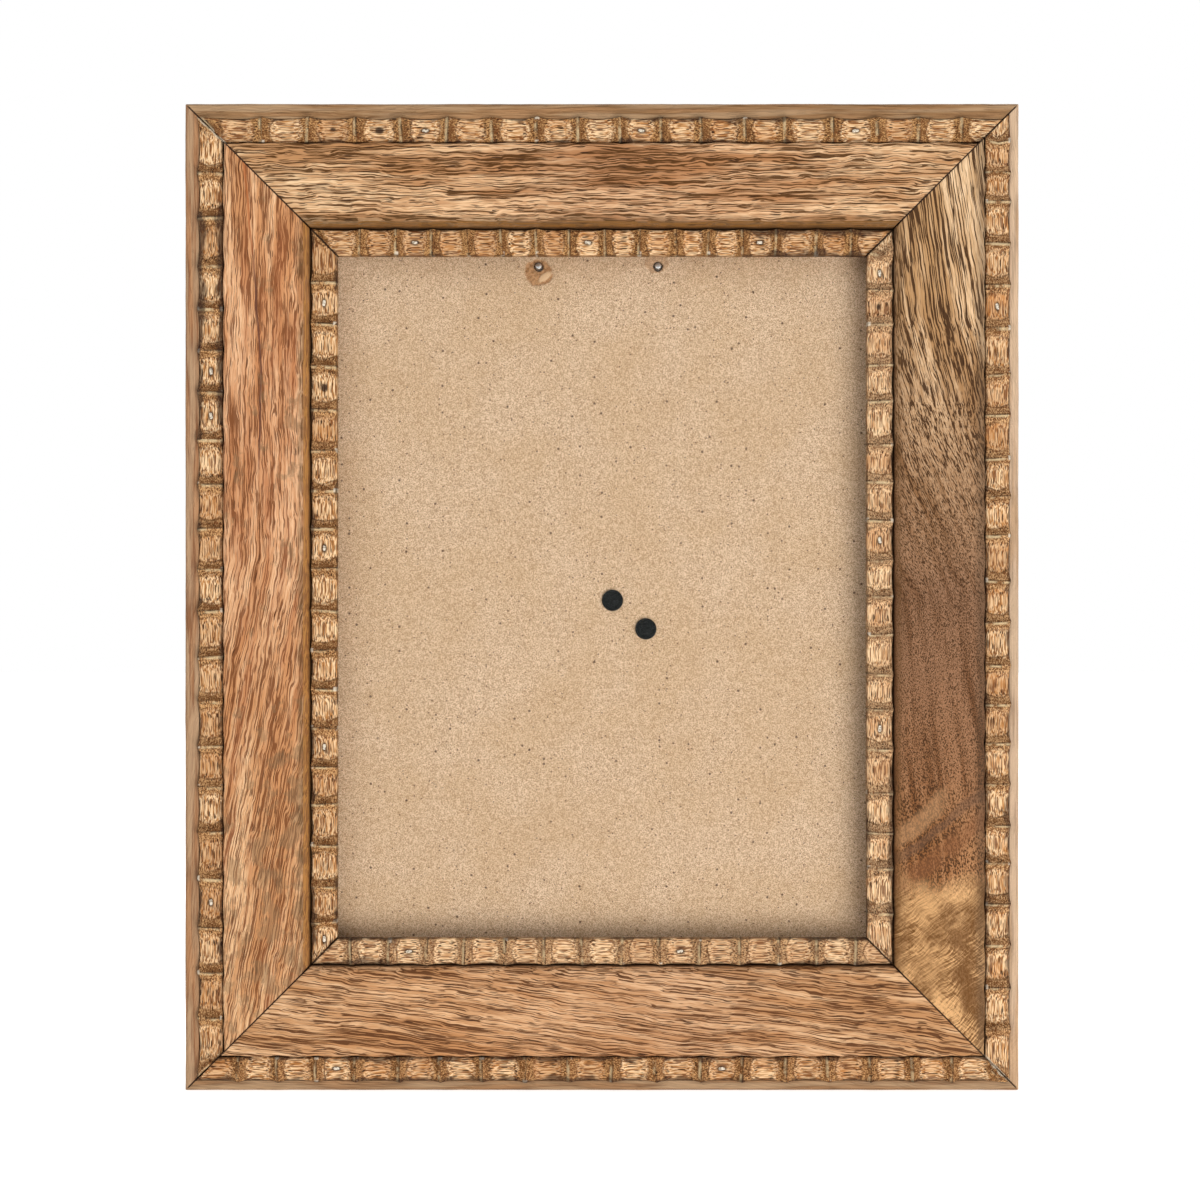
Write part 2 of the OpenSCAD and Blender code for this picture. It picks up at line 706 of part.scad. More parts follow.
module button_screws() {
    head = button_t + 2 * button_space;
    // Shares of the shank's radius
    point_l = screw_r * 1.6;
    point_r = screw_r * 0.3;
    // Rise of the dome and level of the cross recess: shares of the head's thickness
    dome_r = arc_r(2 * screw_head_r, screw_head_t * 0.6);
    recess_floor = head + screw_head_t * 0.4;
    // Length and width of the cross recess: shares of the head's radius
    recess_l = screw_head_r * 1.1;
    recess_w = screw_head_r * 0.24;
    color("silver") for (left = [false, true], up = [false, true]) at_button(left, up)
        difference() {
            union() {
                translate([0, 0, head]) rotate_extrude() intersection() {
                    square([screw_head_r, screw_head_t]);
                    translate([0, screw_head_t - dome_r]) circle(dome_r);
                }
                translate([0, 0, head - screw_l + point_l])
                    cylinder(r = screw_r, h = screw_l - point_l);
                translate([0, 0, head - screw_l]) cylinder(r1 = point_r, r2 = screw_r, h = point_l);
            }
            for (turn = [0, 90]) rotate(turn)
                translate([-recess_l / 2, -recess_w / 2, recess_floor])
                    cube([recess_l, recess_w, screw_head_t]);
        }
}

module rail_bottom() { rail(BOTTOM); }
module rail_left() { rail(LEFT); }
module rail_top() { rail(TOP); }
module rail_right() { rail(RIGHT); }
module outer_bead_bottom() { bead(BOTTOM, false); }
module outer_bead_left() { bead(LEFT, false); }
module outer_bead_top() { bead(TOP, false); }
module outer_bead_right() { bead(RIGHT, false); }
module inner_bead_bottom() { bead(BOTTOM, true); }
module inner_bead_left() { bead(LEFT, true); }
module inner_bead_top() { bead(TOP, true); }
module inner_bead_right() { bead(RIGHT, true); }

rail_bottom();
rail_left();
rail_top();
rail_right();
outer_bead_bottom();
outer_bead_left();
outer_bead_top();
outer_bead_right();
inner_bead_bottom();
inner_bead_left();
inner_bead_top();
inner_bead_right();
bead_brads();
corner_nails();
glass_pane();
backboard();
hanger_plate();
hanger_nails();
hinge_board_leaf();
board_rivets();
hinge_pin();
hinge_leg_leaf();
leg_rivets();
easel_leg();
button_screws();
button_upper_left();
button_lower_left();
button_upper_right();
button_lower_right();
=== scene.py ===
"""Looks of the carved wooden picture frame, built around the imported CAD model.

Lengths in the tables and shape functions are millimetres and become metres in place(). On each side
of the frame a point is given as u, v and s: u runs in from the outer edge, v forward from the rear
plane, and s along the side.
"""
import random
from math import copysign, cos, hypot, pi, radians, sin, sqrt

import bpy
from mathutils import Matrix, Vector, noise


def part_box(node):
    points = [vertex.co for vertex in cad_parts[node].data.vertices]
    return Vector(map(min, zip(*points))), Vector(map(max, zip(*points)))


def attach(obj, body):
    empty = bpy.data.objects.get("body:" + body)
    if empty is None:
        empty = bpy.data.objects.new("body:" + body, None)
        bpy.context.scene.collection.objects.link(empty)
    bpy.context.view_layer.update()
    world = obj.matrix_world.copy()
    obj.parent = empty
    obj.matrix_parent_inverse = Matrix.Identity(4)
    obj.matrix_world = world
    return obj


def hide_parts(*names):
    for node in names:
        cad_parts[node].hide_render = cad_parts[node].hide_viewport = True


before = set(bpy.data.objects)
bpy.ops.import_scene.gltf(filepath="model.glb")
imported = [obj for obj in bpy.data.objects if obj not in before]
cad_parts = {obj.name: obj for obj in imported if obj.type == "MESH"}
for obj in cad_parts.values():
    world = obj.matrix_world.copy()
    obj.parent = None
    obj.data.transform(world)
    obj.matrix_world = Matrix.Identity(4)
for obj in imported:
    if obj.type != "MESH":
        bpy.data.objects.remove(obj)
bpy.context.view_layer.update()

MM = 0.001

# Sides of the frame
BOTTOM, LEFT, TOP, RIGHT = range(4)
SIDES = ("bottom", "left", "top", "right")

# Sizes of the moulding, as in the CAD
OUT_W, OUT_H, REAR_Y = 300, 355, 6.25
RAIL_W, BAND_H, CROWN = 55, 18.5, 0.8
BAND_OUTER_R, BAND_INNER_R, LAND_INNER_R = 1.2, 3, 0.35
LAND = {BOTTOM: 3.9, LEFT: 5.3, TOP: 5.8, RIGHT: 3.8}
LAND_H, LAND_R, OUTER_BED = 14, 1.5, 12.3
REBATE = {BOTTOM: 5.25, LEFT: 7.25, TOP: 5.25, RIGHT: 7.25}
REBATE_DEPTH, INNER_BED, LIP_BACK = 7, 11.6, 1
BEAD_W = {"outer": 9.2, "inner": 9.7}
BEAD_BED = {"outer": OUTER_BED, "inner": INNER_BED}
BEAD_H, BEAD_PLAY, DOME, SCOOP = 5, 0.15, 0.6, 2.6
MITRE_OPEN = 0.1
BOARD_FRONT, BOARD_REAR, GLASS_W, GLASS_H = 3.3, 0.3, 203, 254
BAND_IN = RAIL_W - BEAD_W["inner"] - BEAD_PLAY
BAND_OUT = {side: LAND[side] + BEAD_W["outer"] + 2 * BEAD_PLAY for side in LAND}

# Crests of each carved strip, in mm from its middle: a hand-carved rhythm that never quite repeats
CRESTS = {
    ("outer", BOTTOM): (-130.1, -116.2, -102.3, -88.3, -72.6, -57.9, -42.9, -27.4, -11.6, 3.8, 19.3, 35.6,
                        50.4, 66.1, 81.2, 96.2, 111.5, 125.5),
    ("outer", LEFT): (-152, -136.2, -118.7, -103.3, -88.3, -73.5, -56.5, -40.4, -24.7, -10, 4.8, 21.3, 37.2,
                      53.3, 67.9, 84, 100.8, 118.3, 134.4, 150.7),
    ("outer", TOP): (-129.1, -113.7, -99, -82.9, -65.8, -51.5, -35.8, -21.5, -6.8, 8.2, 23.2, 39.1, 55.1,
                     71.7, 88, 105.1, 121.9),
    ("outer", RIGHT): (-154.8, -139.8, -124.4, -109.8, -95.1, -81.7, -66.9, -52.2, -38.3, -24.3, -8.9, 5.9,
                       22.2, 36.1, 49.7, 65.4, 79.7, 96.5, 111.9, 126.9, 141.9, 152.3),
    ("inner", BOTTOM): (-89.8, -76.2, -62.6, -49.2, -34.4, -20.4, -6.8, 7.5, 20.8, 35.3, 49.7, 63.7, 77.3,
                        91.3),
    ("inner", LEFT): (-113.1, -98.1, -82.9, -67.3, -52.6, -38.3, -24.7, -10.4, 4.7, 19, 32.9, 46.9, 60.8,
                      74.1, 88.8, 103.8, 116.5),
    ("inner", TOP): (-89.5, -77.1, -62.6, -50.6, -38.3, -26.8, -13.6, -1.4, 11.5, 23.3, 35.9, 48.1, 60.8,
                     73.7, 86.6),
    ("inner", RIGHT): (-113.1, -97, -84.3, -70.1, -54.4, -40.1, -27.6, -13.2, 0.4, 13.2, 27.6, 41.5, 54.8,
                       70.5, 83.4, 98.1, 110.2),
}
# The scoops that hold a brad, counted from the first crest of the strip
NAILED = {
    ("outer", BOTTOM): (2, 11), ("outer", LEFT): (4, 5, 16), ("outer", TOP): (2, 7, 12),
    ("outer", RIGHT): (17,), ("inner", BOTTOM): (1, 8), ("inner", LEFT): (0, 6, 11, 16),
    ("inner", TOP): (2, 7, 12), ("inner", RIGHT): (4, 9, 16),
}


def smooth(a, b, x):
    """0 below a, 1 above b, and a smooth step between them."""
    t = min(max((x - a) / (b - a), 0), 1)
    return t * t * (3 - 2 * t)


def wobble(x, y, z=0.0):
    """Smooth noise from about -1 to 1, the same each run."""
    return noise.noise(Vector((x, y, z)))


def place(side, u, v, s):
    """A point of one side in the part's own axes, in metres."""
    x, z = {BOTTOM: (s, u), LEFT: (u - OUT_W / 2, OUT_H / 2 - s), TOP: (-s, OUT_H - u),
            RIGHT: (OUT_W / 2 - u, OUT_H / 2 + s)}[side]
    return x * MM, (REAR_Y - v) * MM, z * MM


def half_run(side, u):
    """Half the length of a side at u, up to the mitre."""
    rail = OUT_W if side in (BOTTOM, TOP) else OUT_H
    return rail / 2 - u - MITRE_OPEN / sqrt(2)


# Colours and material nodes

def rgb(code, alpha=1.0):
    """A colour written as sRGB hex, made linear."""
    values = [int(code[i:i + 2], 16) / 255 for i in (1, 3, 5)]
    return [v / 12.92 if v <= 0.04045 else ((v + 0.055) / 1.055) ** 2.4 for v in values] + [alpha]


class Value:
    """A node's output. Arithmetic on it adds nodes, so that it reads like a number."""

    def __init__(self, m, socket):
        self.m, self.socket = m, socket

    def other(self, name):
        """Another output of the same node."""
        return Value(self.m, self.socket.node.outputs[name])

    def at_least(self, value):
        return self.m.math("MAXIMUM", self, value)

    def __add__(self, value):
        return self.m.math("ADD", self, value)

    def __sub__(self, value):
        return self.m.math("SUBTRACT", self, value)

    def __mul__(self, value):
        return self.m.math("MULTIPLY", self, value)

    def __abs__(self):
        return self.m.math("ABSOLUTE", self)


class Nodes:
    """A node tree. Most methods add a node and return its output as a Value."""

    def __init__(self, tree):
        self.tree = tree

    def node(self, kind, inputs, out=0, **props):
        made = self.tree.nodes.new("ShaderNode" + kind)
        for key, value in props.items():
            setattr(made, key, value)
        for key, value in inputs.items():
            self.plug(made.inputs[key], value)
        return Value(self, made.outputs[out])

    def plug(self, socket, value):
        if isinstance(value, Value):
            self.tree.links.new(value.socket, socket)
        else:
            socket.default_value = rgb(value) if isinstance(value, str) else value

    def attribute(self, name, out="Vector"):
        return self.node("Attribute", {}, out, attribute_name=name)

    def point(self):
        """The shaded point, in the piece's own metres."""
        return self.node("TexCoord", {}, "Object")

    def shift(self, point, by):
        return self.node("VectorMath", {0: point, 1: by}, operation="ADD")

    def spread(self, vector, scale, move=(0, 0, 0), turn=(0, 0, 0)):
        return self.node("Mapping", {"Vector": vector, "Scale": scale, "Location": move, "Rotation": turn})

    def noise(self, vector, scale, detail, rough=0.5, out="Fac", move=(0, 0, 0)):
        """Noise at one scale, or at a scale for each axis and moved by so much."""
        if isinstance(scale, tuple):
            vector, scale = self.spread(vector, scale, move), 1.0
        return self.node("TexNoise", {"Vector": vector, "Scale": scale, "Detail": detail, "Roughness": rough},
                         out)

    def cells(self, vector, scale=1.0):
        return self.node("TexVoronoi", {"Vector": vector, "Scale": scale}, "Distance")

    def math(self, operation, a, b=0.0):
        return self.node("Math", {0: a, 1: b}, operation=operation)

    def step(self, value, low, high, to_low=0.0, to_high=1.0):
        """Smooth step of value from low to high."""
        return self.node("MapRange", {"Value": value, "From Min": low, "From Max": high, "To Min": to_low,
                                      "To Max": to_high}, interpolation_type="SMOOTHSTEP")

    def step_mm(self, value, low, high, *to):
        """The same for a value in metres, from low to high in mm."""
        return self.step(value, low * MM, high * MM, *to)

    def ramp(self, value, *stops):
        """Colour along value, from stops of (place, hex colour)."""
        made = self.node("ValToRGB", {0: value})
        points = made.socket.node.color_ramp.elements
        while len(points) < len(stops):
            points.new(0.5)
        for point, (place_at, code) in zip(points, stops):
            point.position, point.color = place_at, rgb(code)
        return made

    def mix(self, share, a, b, how="MIX"):
        return self.node("Mix", {0: share, 6: a, 7: b}, 2, data_type="RGBA", blend_type=how)

    def split(self, vector):
        made = self.node("SeparateXYZ", {0: vector})
        return [made.other(axis) for axis in "XYZ"]

    def join(self, x, y, z):
        return self.node("CombineXYZ", {"X": x, "Y": y, "Z": z})


class Material(Nodes):
    """A material's nodes, its shader, and its paint: the colour so far."""

    def __init__(self, name):
        self.mat = bpy.data.materials.new(name)
        self.mat.use_nodes = True
        super().__init__(self.mat.node_tree)
        self.shader = self.tree.nodes["Principled BSDF"]
        self.paint = None

    def set(self, **inputs):
        for key, value in inputs.items():
            self.plug(self.shader.inputs[key.replace("_", " ")], value)
        return self.mat

    def coat(self, share, colour, how="MIX"):
        """Lays a colour over the paint. share is 1 where it covers all and 0 where none of it shows."""
        self.paint = self.mix(share, self.paint, colour, how)

    def bump(self, height, distance, strength):
        """Relief of height, distance in mm."""
        return self.node("Bump", {"Height": height, "Distance": distance * MM, "Strength": strength})


def grain_point(m, shift, sway, ripple):
    """The piece's own (s, u, v) in metres, moved to its own stretch of timber, and the same with wavy grain.

    sway and ripple are how far, in mm, the slow and the quick waves carry the grain aside.
    """
    point = m.shift(m.attribute("grain"), shift)
    slow = m.noise(point, (13, 30, 30), 1) - 0.5
    quick = m.noise(point, (120, 190, 70), 1) - 0.5
    off = slow * (4 * sway * MM) + quick * (4 * ripple * MM)
    return point, m.shift(point, m.join(0.0, off, off * 0.4))


def pores(m, point, along, across, wide, keep):
    """Open pores, as dashes along the grain: 1 in a pore and 0 outside. keep: share of cells with one."""
    dash = m.cells(m.spread(point, (along, across, across)))
    pick = m.split(dash.other("Color"))[0]
    width = m.step(pick, 1 - keep, 1.0, 0.12, wide) * m.math("GREATER_THAN", pick, 1 - keep)
    return m.node("MapRange", {"Value": width - dash, "From Min": 0.0, "From Max": 0.09})


def centred(value, gain):
    """A noise value as a small push about 0."""
    return (value - 0.5) * gain


def bent(s, start, *bends):
    """A broken line over s: its slope is start, and changes by so much past each place (mm)."""
    total = s * start
    for at, change in bends:
        total += (s - at * MM).at_least(0.0) * change
    return total


def turned(s, u, degrees):
    """Distances along and across a line that rises from the outer edge's side to the inner, as s falls."""
    angle = radians(degrees)
    c, d = cos(angle), sin(angle)
    return s * d - u * c, s * c + u * d


# How much the waxed wood mirrors, face on
WAX_SHINE = 0.12

# Each rail's own board: the colours of its wood and strokes, how far its grain sways and ripples (mm), how
# its strokes lean and how fast they shorten along s (slope at the low end, then changes past a place in
# mm), how many and how strong they are, and a tint along it from the low end of s to the high end
RAIL_LOOKS = {
    BOTTOM: dict(light="#ECC8A2", mid="#C09064", dark="#5A3419", pore="#3A2114", land="#A07E5C", sway=1.6,
                 ripple=0.50, lean=(-0.13,), pace=(1.0,), cover=0.505, force=0.90, edge=0.0, length=50,
                 tint=((0.0, "#FFFAF2"), (0.3, "#FFF2E4"), (0.6, "#F6EAE0"), (1.0, "#FFF8EA"))),
    LEFT: dict(light="#FAD4AC", mid="#D0986A", dark="#6E3C1C", pore="#4A2814", land="#A68160", sway=1.1,
               ripple=0.55, lean=(0.0, (-13, -0.17)), pace=(1.2,), cover=0.508, force=0.80, edge=0.8,
               length=52,
               tint=((0.0, "#FFFCF4"), (0.15, "#FFF4EA"), (0.35, "#F6E6DC"), (0.7, "#FAF2E6"),
                     (1.0, "#F2E8D8"))),
    TOP: dict(light="#FCDCB4", mid="#C29266", dark="#50300F", pore="#341E12", land="#98724C", sway=1.0,
              ripple=0.60, lean=(0.0,), pace=(1.0,), cover=0.500, force=0.92, edge=0.7, length=50,
              tint=((0.0, "#FFF8EE"), (0.35, "#F2E2D6"), (0.5, "#E6D4C8"), (0.7, "#FAEEE2"),
                    (1.0, "#FFFCF4"))),
    RIGHT: dict(light="#F8D6B0", mid="#BC9266", dark="#442A14", pore="#26170C", land="#D6B698", sway=1.2,
                ripple=0.30, lean=(0.10, (0, 0.38), (30, -0.08), (60, -0.13), (100, -0.13)),
                pace=(20.0, (0, -8.0), (30, -6.0), (70, -3.8), (100, -1.3)), cover=0.497, force=0.95,
                edge=0.15, length=54,
                tint=((0.0, "#F0DCC4"), (0.19, "#F0DCC2"), (0.215, "#C8A88C"), (0.25, "#BEA084"),
                      (0.31, "#B69A86"), (0.40, "#AA9284"), (0.50, "#A49086"), (0.56, "#B4A296"),
                      (0.66, "#CCC0B4"), (0.80, "#FFFAF0"), (1.0, "#FFFFFA"))),
}


# The slant of the right rail's low end, and where the left rail's long dark line passes mid-height (mm)
VEIN_SLANT = 38
DARK_LINE_U = 37.55


def curly_end(m, s, u, point):
    """The right rail's low end: a dark slanting vein, a red patch, and curly golden wood below them."""
    along, across = turned(s, u, VEIN_SLANT)
    other = turned(s, u, 180 - VEIN_SLANT)
    patch = m.noise(point, (75, 75, 75), 2)
    bend = across + centred(patch, 7 * MM)
    hatch = m.noise(m.join(along * 190, bend * 1600, 0.0), 1, 2, 0.6)
    cross = m.noise(m.join(other[0] * 260, other[1] * 1500, 4.0), 1, 1)
    weave = hatch * 0.76 + cross * 0.24
    big = m.noise(point, (38, 45, 45), 2, move=(4, 4, 4))
    weave = m.mix(m.step(patch, 0.40, 0.62, 0.35, 1.0), (0.5, 0.5, 0.5, 1), weave)
    weave = m.split(weave)[0] + centred(patch, 0.35)
    golden = m.mix(m.step(weave + centred(big, 0.55), 0.4, 0.61), "#744C24", "#EEBA80")
    m.coat(m.step_mm(s + centred(patch, 35 * MM), -94, -114) * 0.88, golden)
    # The red patch, the dark vein and a pale wedge beside it, each so far (mm) across the slant
    for far, low, high, share, colour in ((54, 5.5, 1.0, m.step(patch, 0.36, 0.6, 0.1, 0.55), "#8A5836"),
                                          (46.4, 2.4, 0.8, 0.55, "#70503A"),
                                          (40, 4.5, 1.5, m.step_mm(u, 24, 31) * 0.35, "#D2A274")):
        m.coat(m.step_mm(abs(bend + far * MM), low, high) * share, colour)


def left_figure(m, s, u, point, laid):
    """The left rail: red veins, one long dark line in its upper half, and olive bloom towards its low end."""
    veins = m.noise(laid, (20, 240, 240), 2, move=(3, 0, 0))
    m.coat(m.step(veins, 0.53, 0.68, 0.0, 0.28), "#A8623C")
    sway = centred(m.noise(point, (60, 1, 1), 2), 2.2 * MM)
    centre = bent(s, 0.1, (-118, -0.02), (-82, -0.11)) + DARK_LINE_U * MM
    off = abs(u + sway - centre)
    line = m.step_mm(off, 0.55, 0.15) * m.step_mm(s, -36, -56)
    m.coat(line * 0.75, m.mix(m.step_mm(s, -135, -110), "#B4693A", "#5C3830"))
    bloom = m.noise(point, (120, 150, 150), 4, 0.65, move=(1, 4, 2))
    amount = m.step_mm(s, 10, 120) * 0.1 + m.step_mm(u, 18, 44) * 0.05
    bloom = m.step(bloom + amount, 0.59, 0.7)
    m.coat(bloom * 0.5, "#86694A")


def land_face(m, side, u, point):
    """The land is planed smooth and finely streaked, greyer than the band."""
    look = RAIL_LOOKS[side]
    on_land = m.step_mm(u, LAND[side] + 0.2, LAND[side] - 0.2)
    scratch = m.noise(point, (55, 1900, 1900), 2, 0.6)
    slow = m.noise(point, (22, 300, 300), 2, move=(6, 6, 6))
    depth = {BOTTOM: 0.50, LEFT: 0.75, TOP: 0.55, RIGHT: 0.36}[side]
    land = m.mix(m.step(scratch, 0.56, 0.4) * depth, look["land"], look["dark"])
    land = m.mix(m.step(slow, 0.50, 0.36, 0.0, 0.45), land, look["mid"])
    land = m.mix(m.step(slow, 0.46, 0.62, 0.0, 0.55), land, m.mix(0.45, look["land"], "#EFCFA8"))
    m.coat(on_land * 0.9, land)


def band_edges(m, side, u, v, point, lines):
    """The band's inner edge is golden past an olive stripe. The right band's outer edge is dark."""
    above = m.step_mm(v, INNER_BED - 0.5, INNER_BED + 0.3)
    blot = m.noise(point, (120, 200, 200), 3, 0.6, move=(8, 8, 8))
    shifted = u + centred(blot, 1.6 * MM)
    share = RAIL_LOOKS[side]["edge"]
    stripe = m.step_mm(shifted, BAND_IN - 4.6, BAND_IN - 2.8) * above * m.step(blot, 0.36, 0.56, 0.35, 1.0)
    m.coat(stripe * (0.7 * share), "#5A4226")
    cut = m.step_mm(u, BAND_IN - 2.2, BAND_IN - 1.7) * above
    gold = {LEFT: ("#80522A", "#BC8446"), TOP: ("#523718", "#946634")}.get(side, ("#6A4A26", "#A87E4C"))
    m.coat(cut * share, m.mix(m.step(lines, 0.4, 0.58), *gold))
    # A painted shade line in the crease at the band's inner wall
    line = m.step_mm(u + centred(blot, 0.8 * MM), BAND_IN - 0.4, BAND_IN - 0.15) * above
    m.coat(line * 0.4, "#2C1C12")
    if side == RIGHT:
        rim = m.step_mm(shifted, BAND_OUT[side] + 4.6, BAND_OUT[side] + 0.8)
        rim *= m.step_mm(u, LAND[side] + 0.3, LAND[side] + 0.6)
        m.coat(rim * 0.5, "#54402E")
        # Painted shade on the right band's inner edge, which faces away from the key lamp
        inner = m.step_mm(shifted, BAND_IN - 5.5, BAND_IN - 2.0)
        m.coat(inner * above * 0.12, "#6E4A30")


def rail_wood(side):
    """Waxed open-pored hardwood. Each rail comes from its own board, so each has its own colours."""
    look = RAIL_LOOKS[side]
    m = Material(f"rail_wood_{SIDES[side]}")
    s, u, v = m.split(m.attribute("grain"))
    point, wavy = grain_point(m, (0.7 * side, 0.31 * side, 0.13 * side), look["sway"], look["ripple"])
    aside = bent(s, *look["lean"]) * -1.0
    laid = m.shift(wavy, m.join(0.0, aside, 0.0))
    # Where the grain dives into the surface its strokes show ever shorter
    hurry = bent(s, *look["pace"]) - s
    flow = m.shift(laid, m.join(hurry, 0.0, 0.0))
    broad = m.noise(laid, (9, 70, 70), 2)
    streak = m.noise(laid, (26, 340, 340), 2, 0.55)
    width = 1900 if side == RIGHT else 2250
    lines = m.noise(flow, (look["length"], width, width), 1)
    if side == RIGHT:
        # The specks are finest in the middle, where the grain ends in the surface
        fine = m.noise(flow, (1.6 * look["length"], 2800, 2800), 1, move=(7, 7, 7))
        lines = m.mix(m.step_mm(abs(s + 12 * MM), 62, 45), lines, fine)
    hairs = m.noise(flow, (3 * look["length"], 3300, 3300), 1, move=(5, 5, 5))
    tone = streak * 0.5 + broad * 0.5
    m.paint = m.mix(m.step(tone, 0.39, 0.60), look["mid"], look["light"])
    m.coat(m.step(hairs, 0.36, 0.58, 0.75, 0.0), look["mid"])
    reach = OUT_W if side in (BOTTOM, TOP) else OUT_H
    along = m.math("DIVIDE", s, reach * MM) + 0.5 + centred(m.noise(point, (14, 45, 45), 2), 0.1)
    m.coat(1.0, m.ramp(along, *look["tint"]), "MULTIPLY")
    # Strokes of open grain: a few strong, most soft, gathered where the wood is darker
    field = lines * 0.7 + hairs * 0.3 - centred(streak, 0.12) - centred(broad, 0.14)
    soft = m.step(field, look["cover"] - 0.04, look["cover"] + 0.03)
    strong = m.step(field, look["cover"] + 0.02, look["cover"] + 0.045)
    pore = pores(m, flow, 130, 2000, 0.36, 0.5)
    force = m.step_mm(s, -10, 40, 0.92, look["force"]) if side == RIGHT else look["force"]
    m.coat(soft * 0.3, look["dark"])
    m.coat(strong * force, look["dark"])
    m.coat(pore * (0.6 if side == RIGHT else look["force"]), look["pore"])
    if side == RIGHT:
        curly_end(m, s, u, point)
    if side == LEFT:
        left_figure(m, s, u, point, laid)
    land_face(m, side, u, point)
    band_edges(m, side, u, v, point, lines)
    # Painted shade in the low walls and beds beside the strips, and dirt and old wax along the mitres
    strip_wall_shade = m.step_mm(v, OUTER_BED + 3.1, OUTER_BED + 2.1) * m.step_mm(u, LAND[side] + 3, LAND[side] + 4)
    corners = strip_wall_shade.at_least(m.step_mm(m.attribute("mitre", "Fac"), 0.5, 0.15))
    bed_shade_and_mitre_dirt = m.step_mm(v, OUTER_BED + 1.5, OUTER_BED + 0.2).at_least(corners)
    shown = m.step_mm(v, 9, 10) * m.step_mm(u, 0.5, 1.5) * m.step_mm(u, BAND_IN - 1, BAND_IN - 0.5, 1.0, 0.45)
    m.coat(bed_shade_and_mitre_dirt * shown * 0.92, "#2A1A12")
    height = (soft + strong) * -0.35 - pore
    return m.set(Base_Color=m.paint, Roughness=m.step(strong, 0.0, 1.0, 0.46, 0.62),
                 Normal=m.bump(height, 0.12, 0.9), Specular_IOR_Level=WAX_SHINE)


# On each strip one slope of a crest is painted in shade: +1 where it is the one that climbs along s
SHADED_SLOPE = {BOTTOM: -1, LEFT: 1, TOP: 1, RIGHT: -1}
# The painted lit colour of its other slope, and the end whose mitre is filled
LIT_SLOPE = {BOTTOM: "#DAA66E", LEFT: "#DAA872", TOP: "#D8A46A", RIGHT: "#E0B07C"}
FILLED_END = {BOTTOM: 1, LEFT: -1, TOP: 1, RIGHT: -1}

# Stretches of a strip where the stain is heavy, as (from, to, how heavy), from and to in mm along s
STAINED = {
    ("outer", LEFT): ((-140, -58, 0.22), (-50, 130, 0.03)),
    ("outer", RIGHT): ((-150, -60, 0.12), (-60, 60, 0.03)), ("outer", TOP): ((-75, -5, 0.09),),
    ("outer", BOTTOM): ((-140, -95, 0.07), (-95, 40, 0.14), (40, 140, 0.06)),
    ("inner", TOP): ((-100, -52, 0.18),), ("inner", LEFT): ((95, 130, 0.14), (-35, -22, 0.08)),
    ("inner", BOTTOM): ((-100, -72, 0.16), (72, 100, 0.06)), ("inner", RIGHT): ((-125, -60, 0.14),),
}


def strip_edge_shade_and_stain(m, ring, side, s, rim, across, blot, cell):
    """Painted shade along both long edges, where the strip meets its neighbours, and old wax stain, heaviest
    where STAINED says.
    """
    reach = rim + centred(blot, 0.85) + cell * 0.04
    if ring == "inner":
        reach -= m.step(across, 0.5, 0.95, 0.0, 0.1)
    for low, high, amount in STAINED.get((ring, side), ()):
        inside = m.step_mm(s, low - 6, low + 6) * m.step_mm(s, high + 6, high - 6)
        reach += inside * amount
    return m.step(reach, 0.42, 0.6) * 0.82


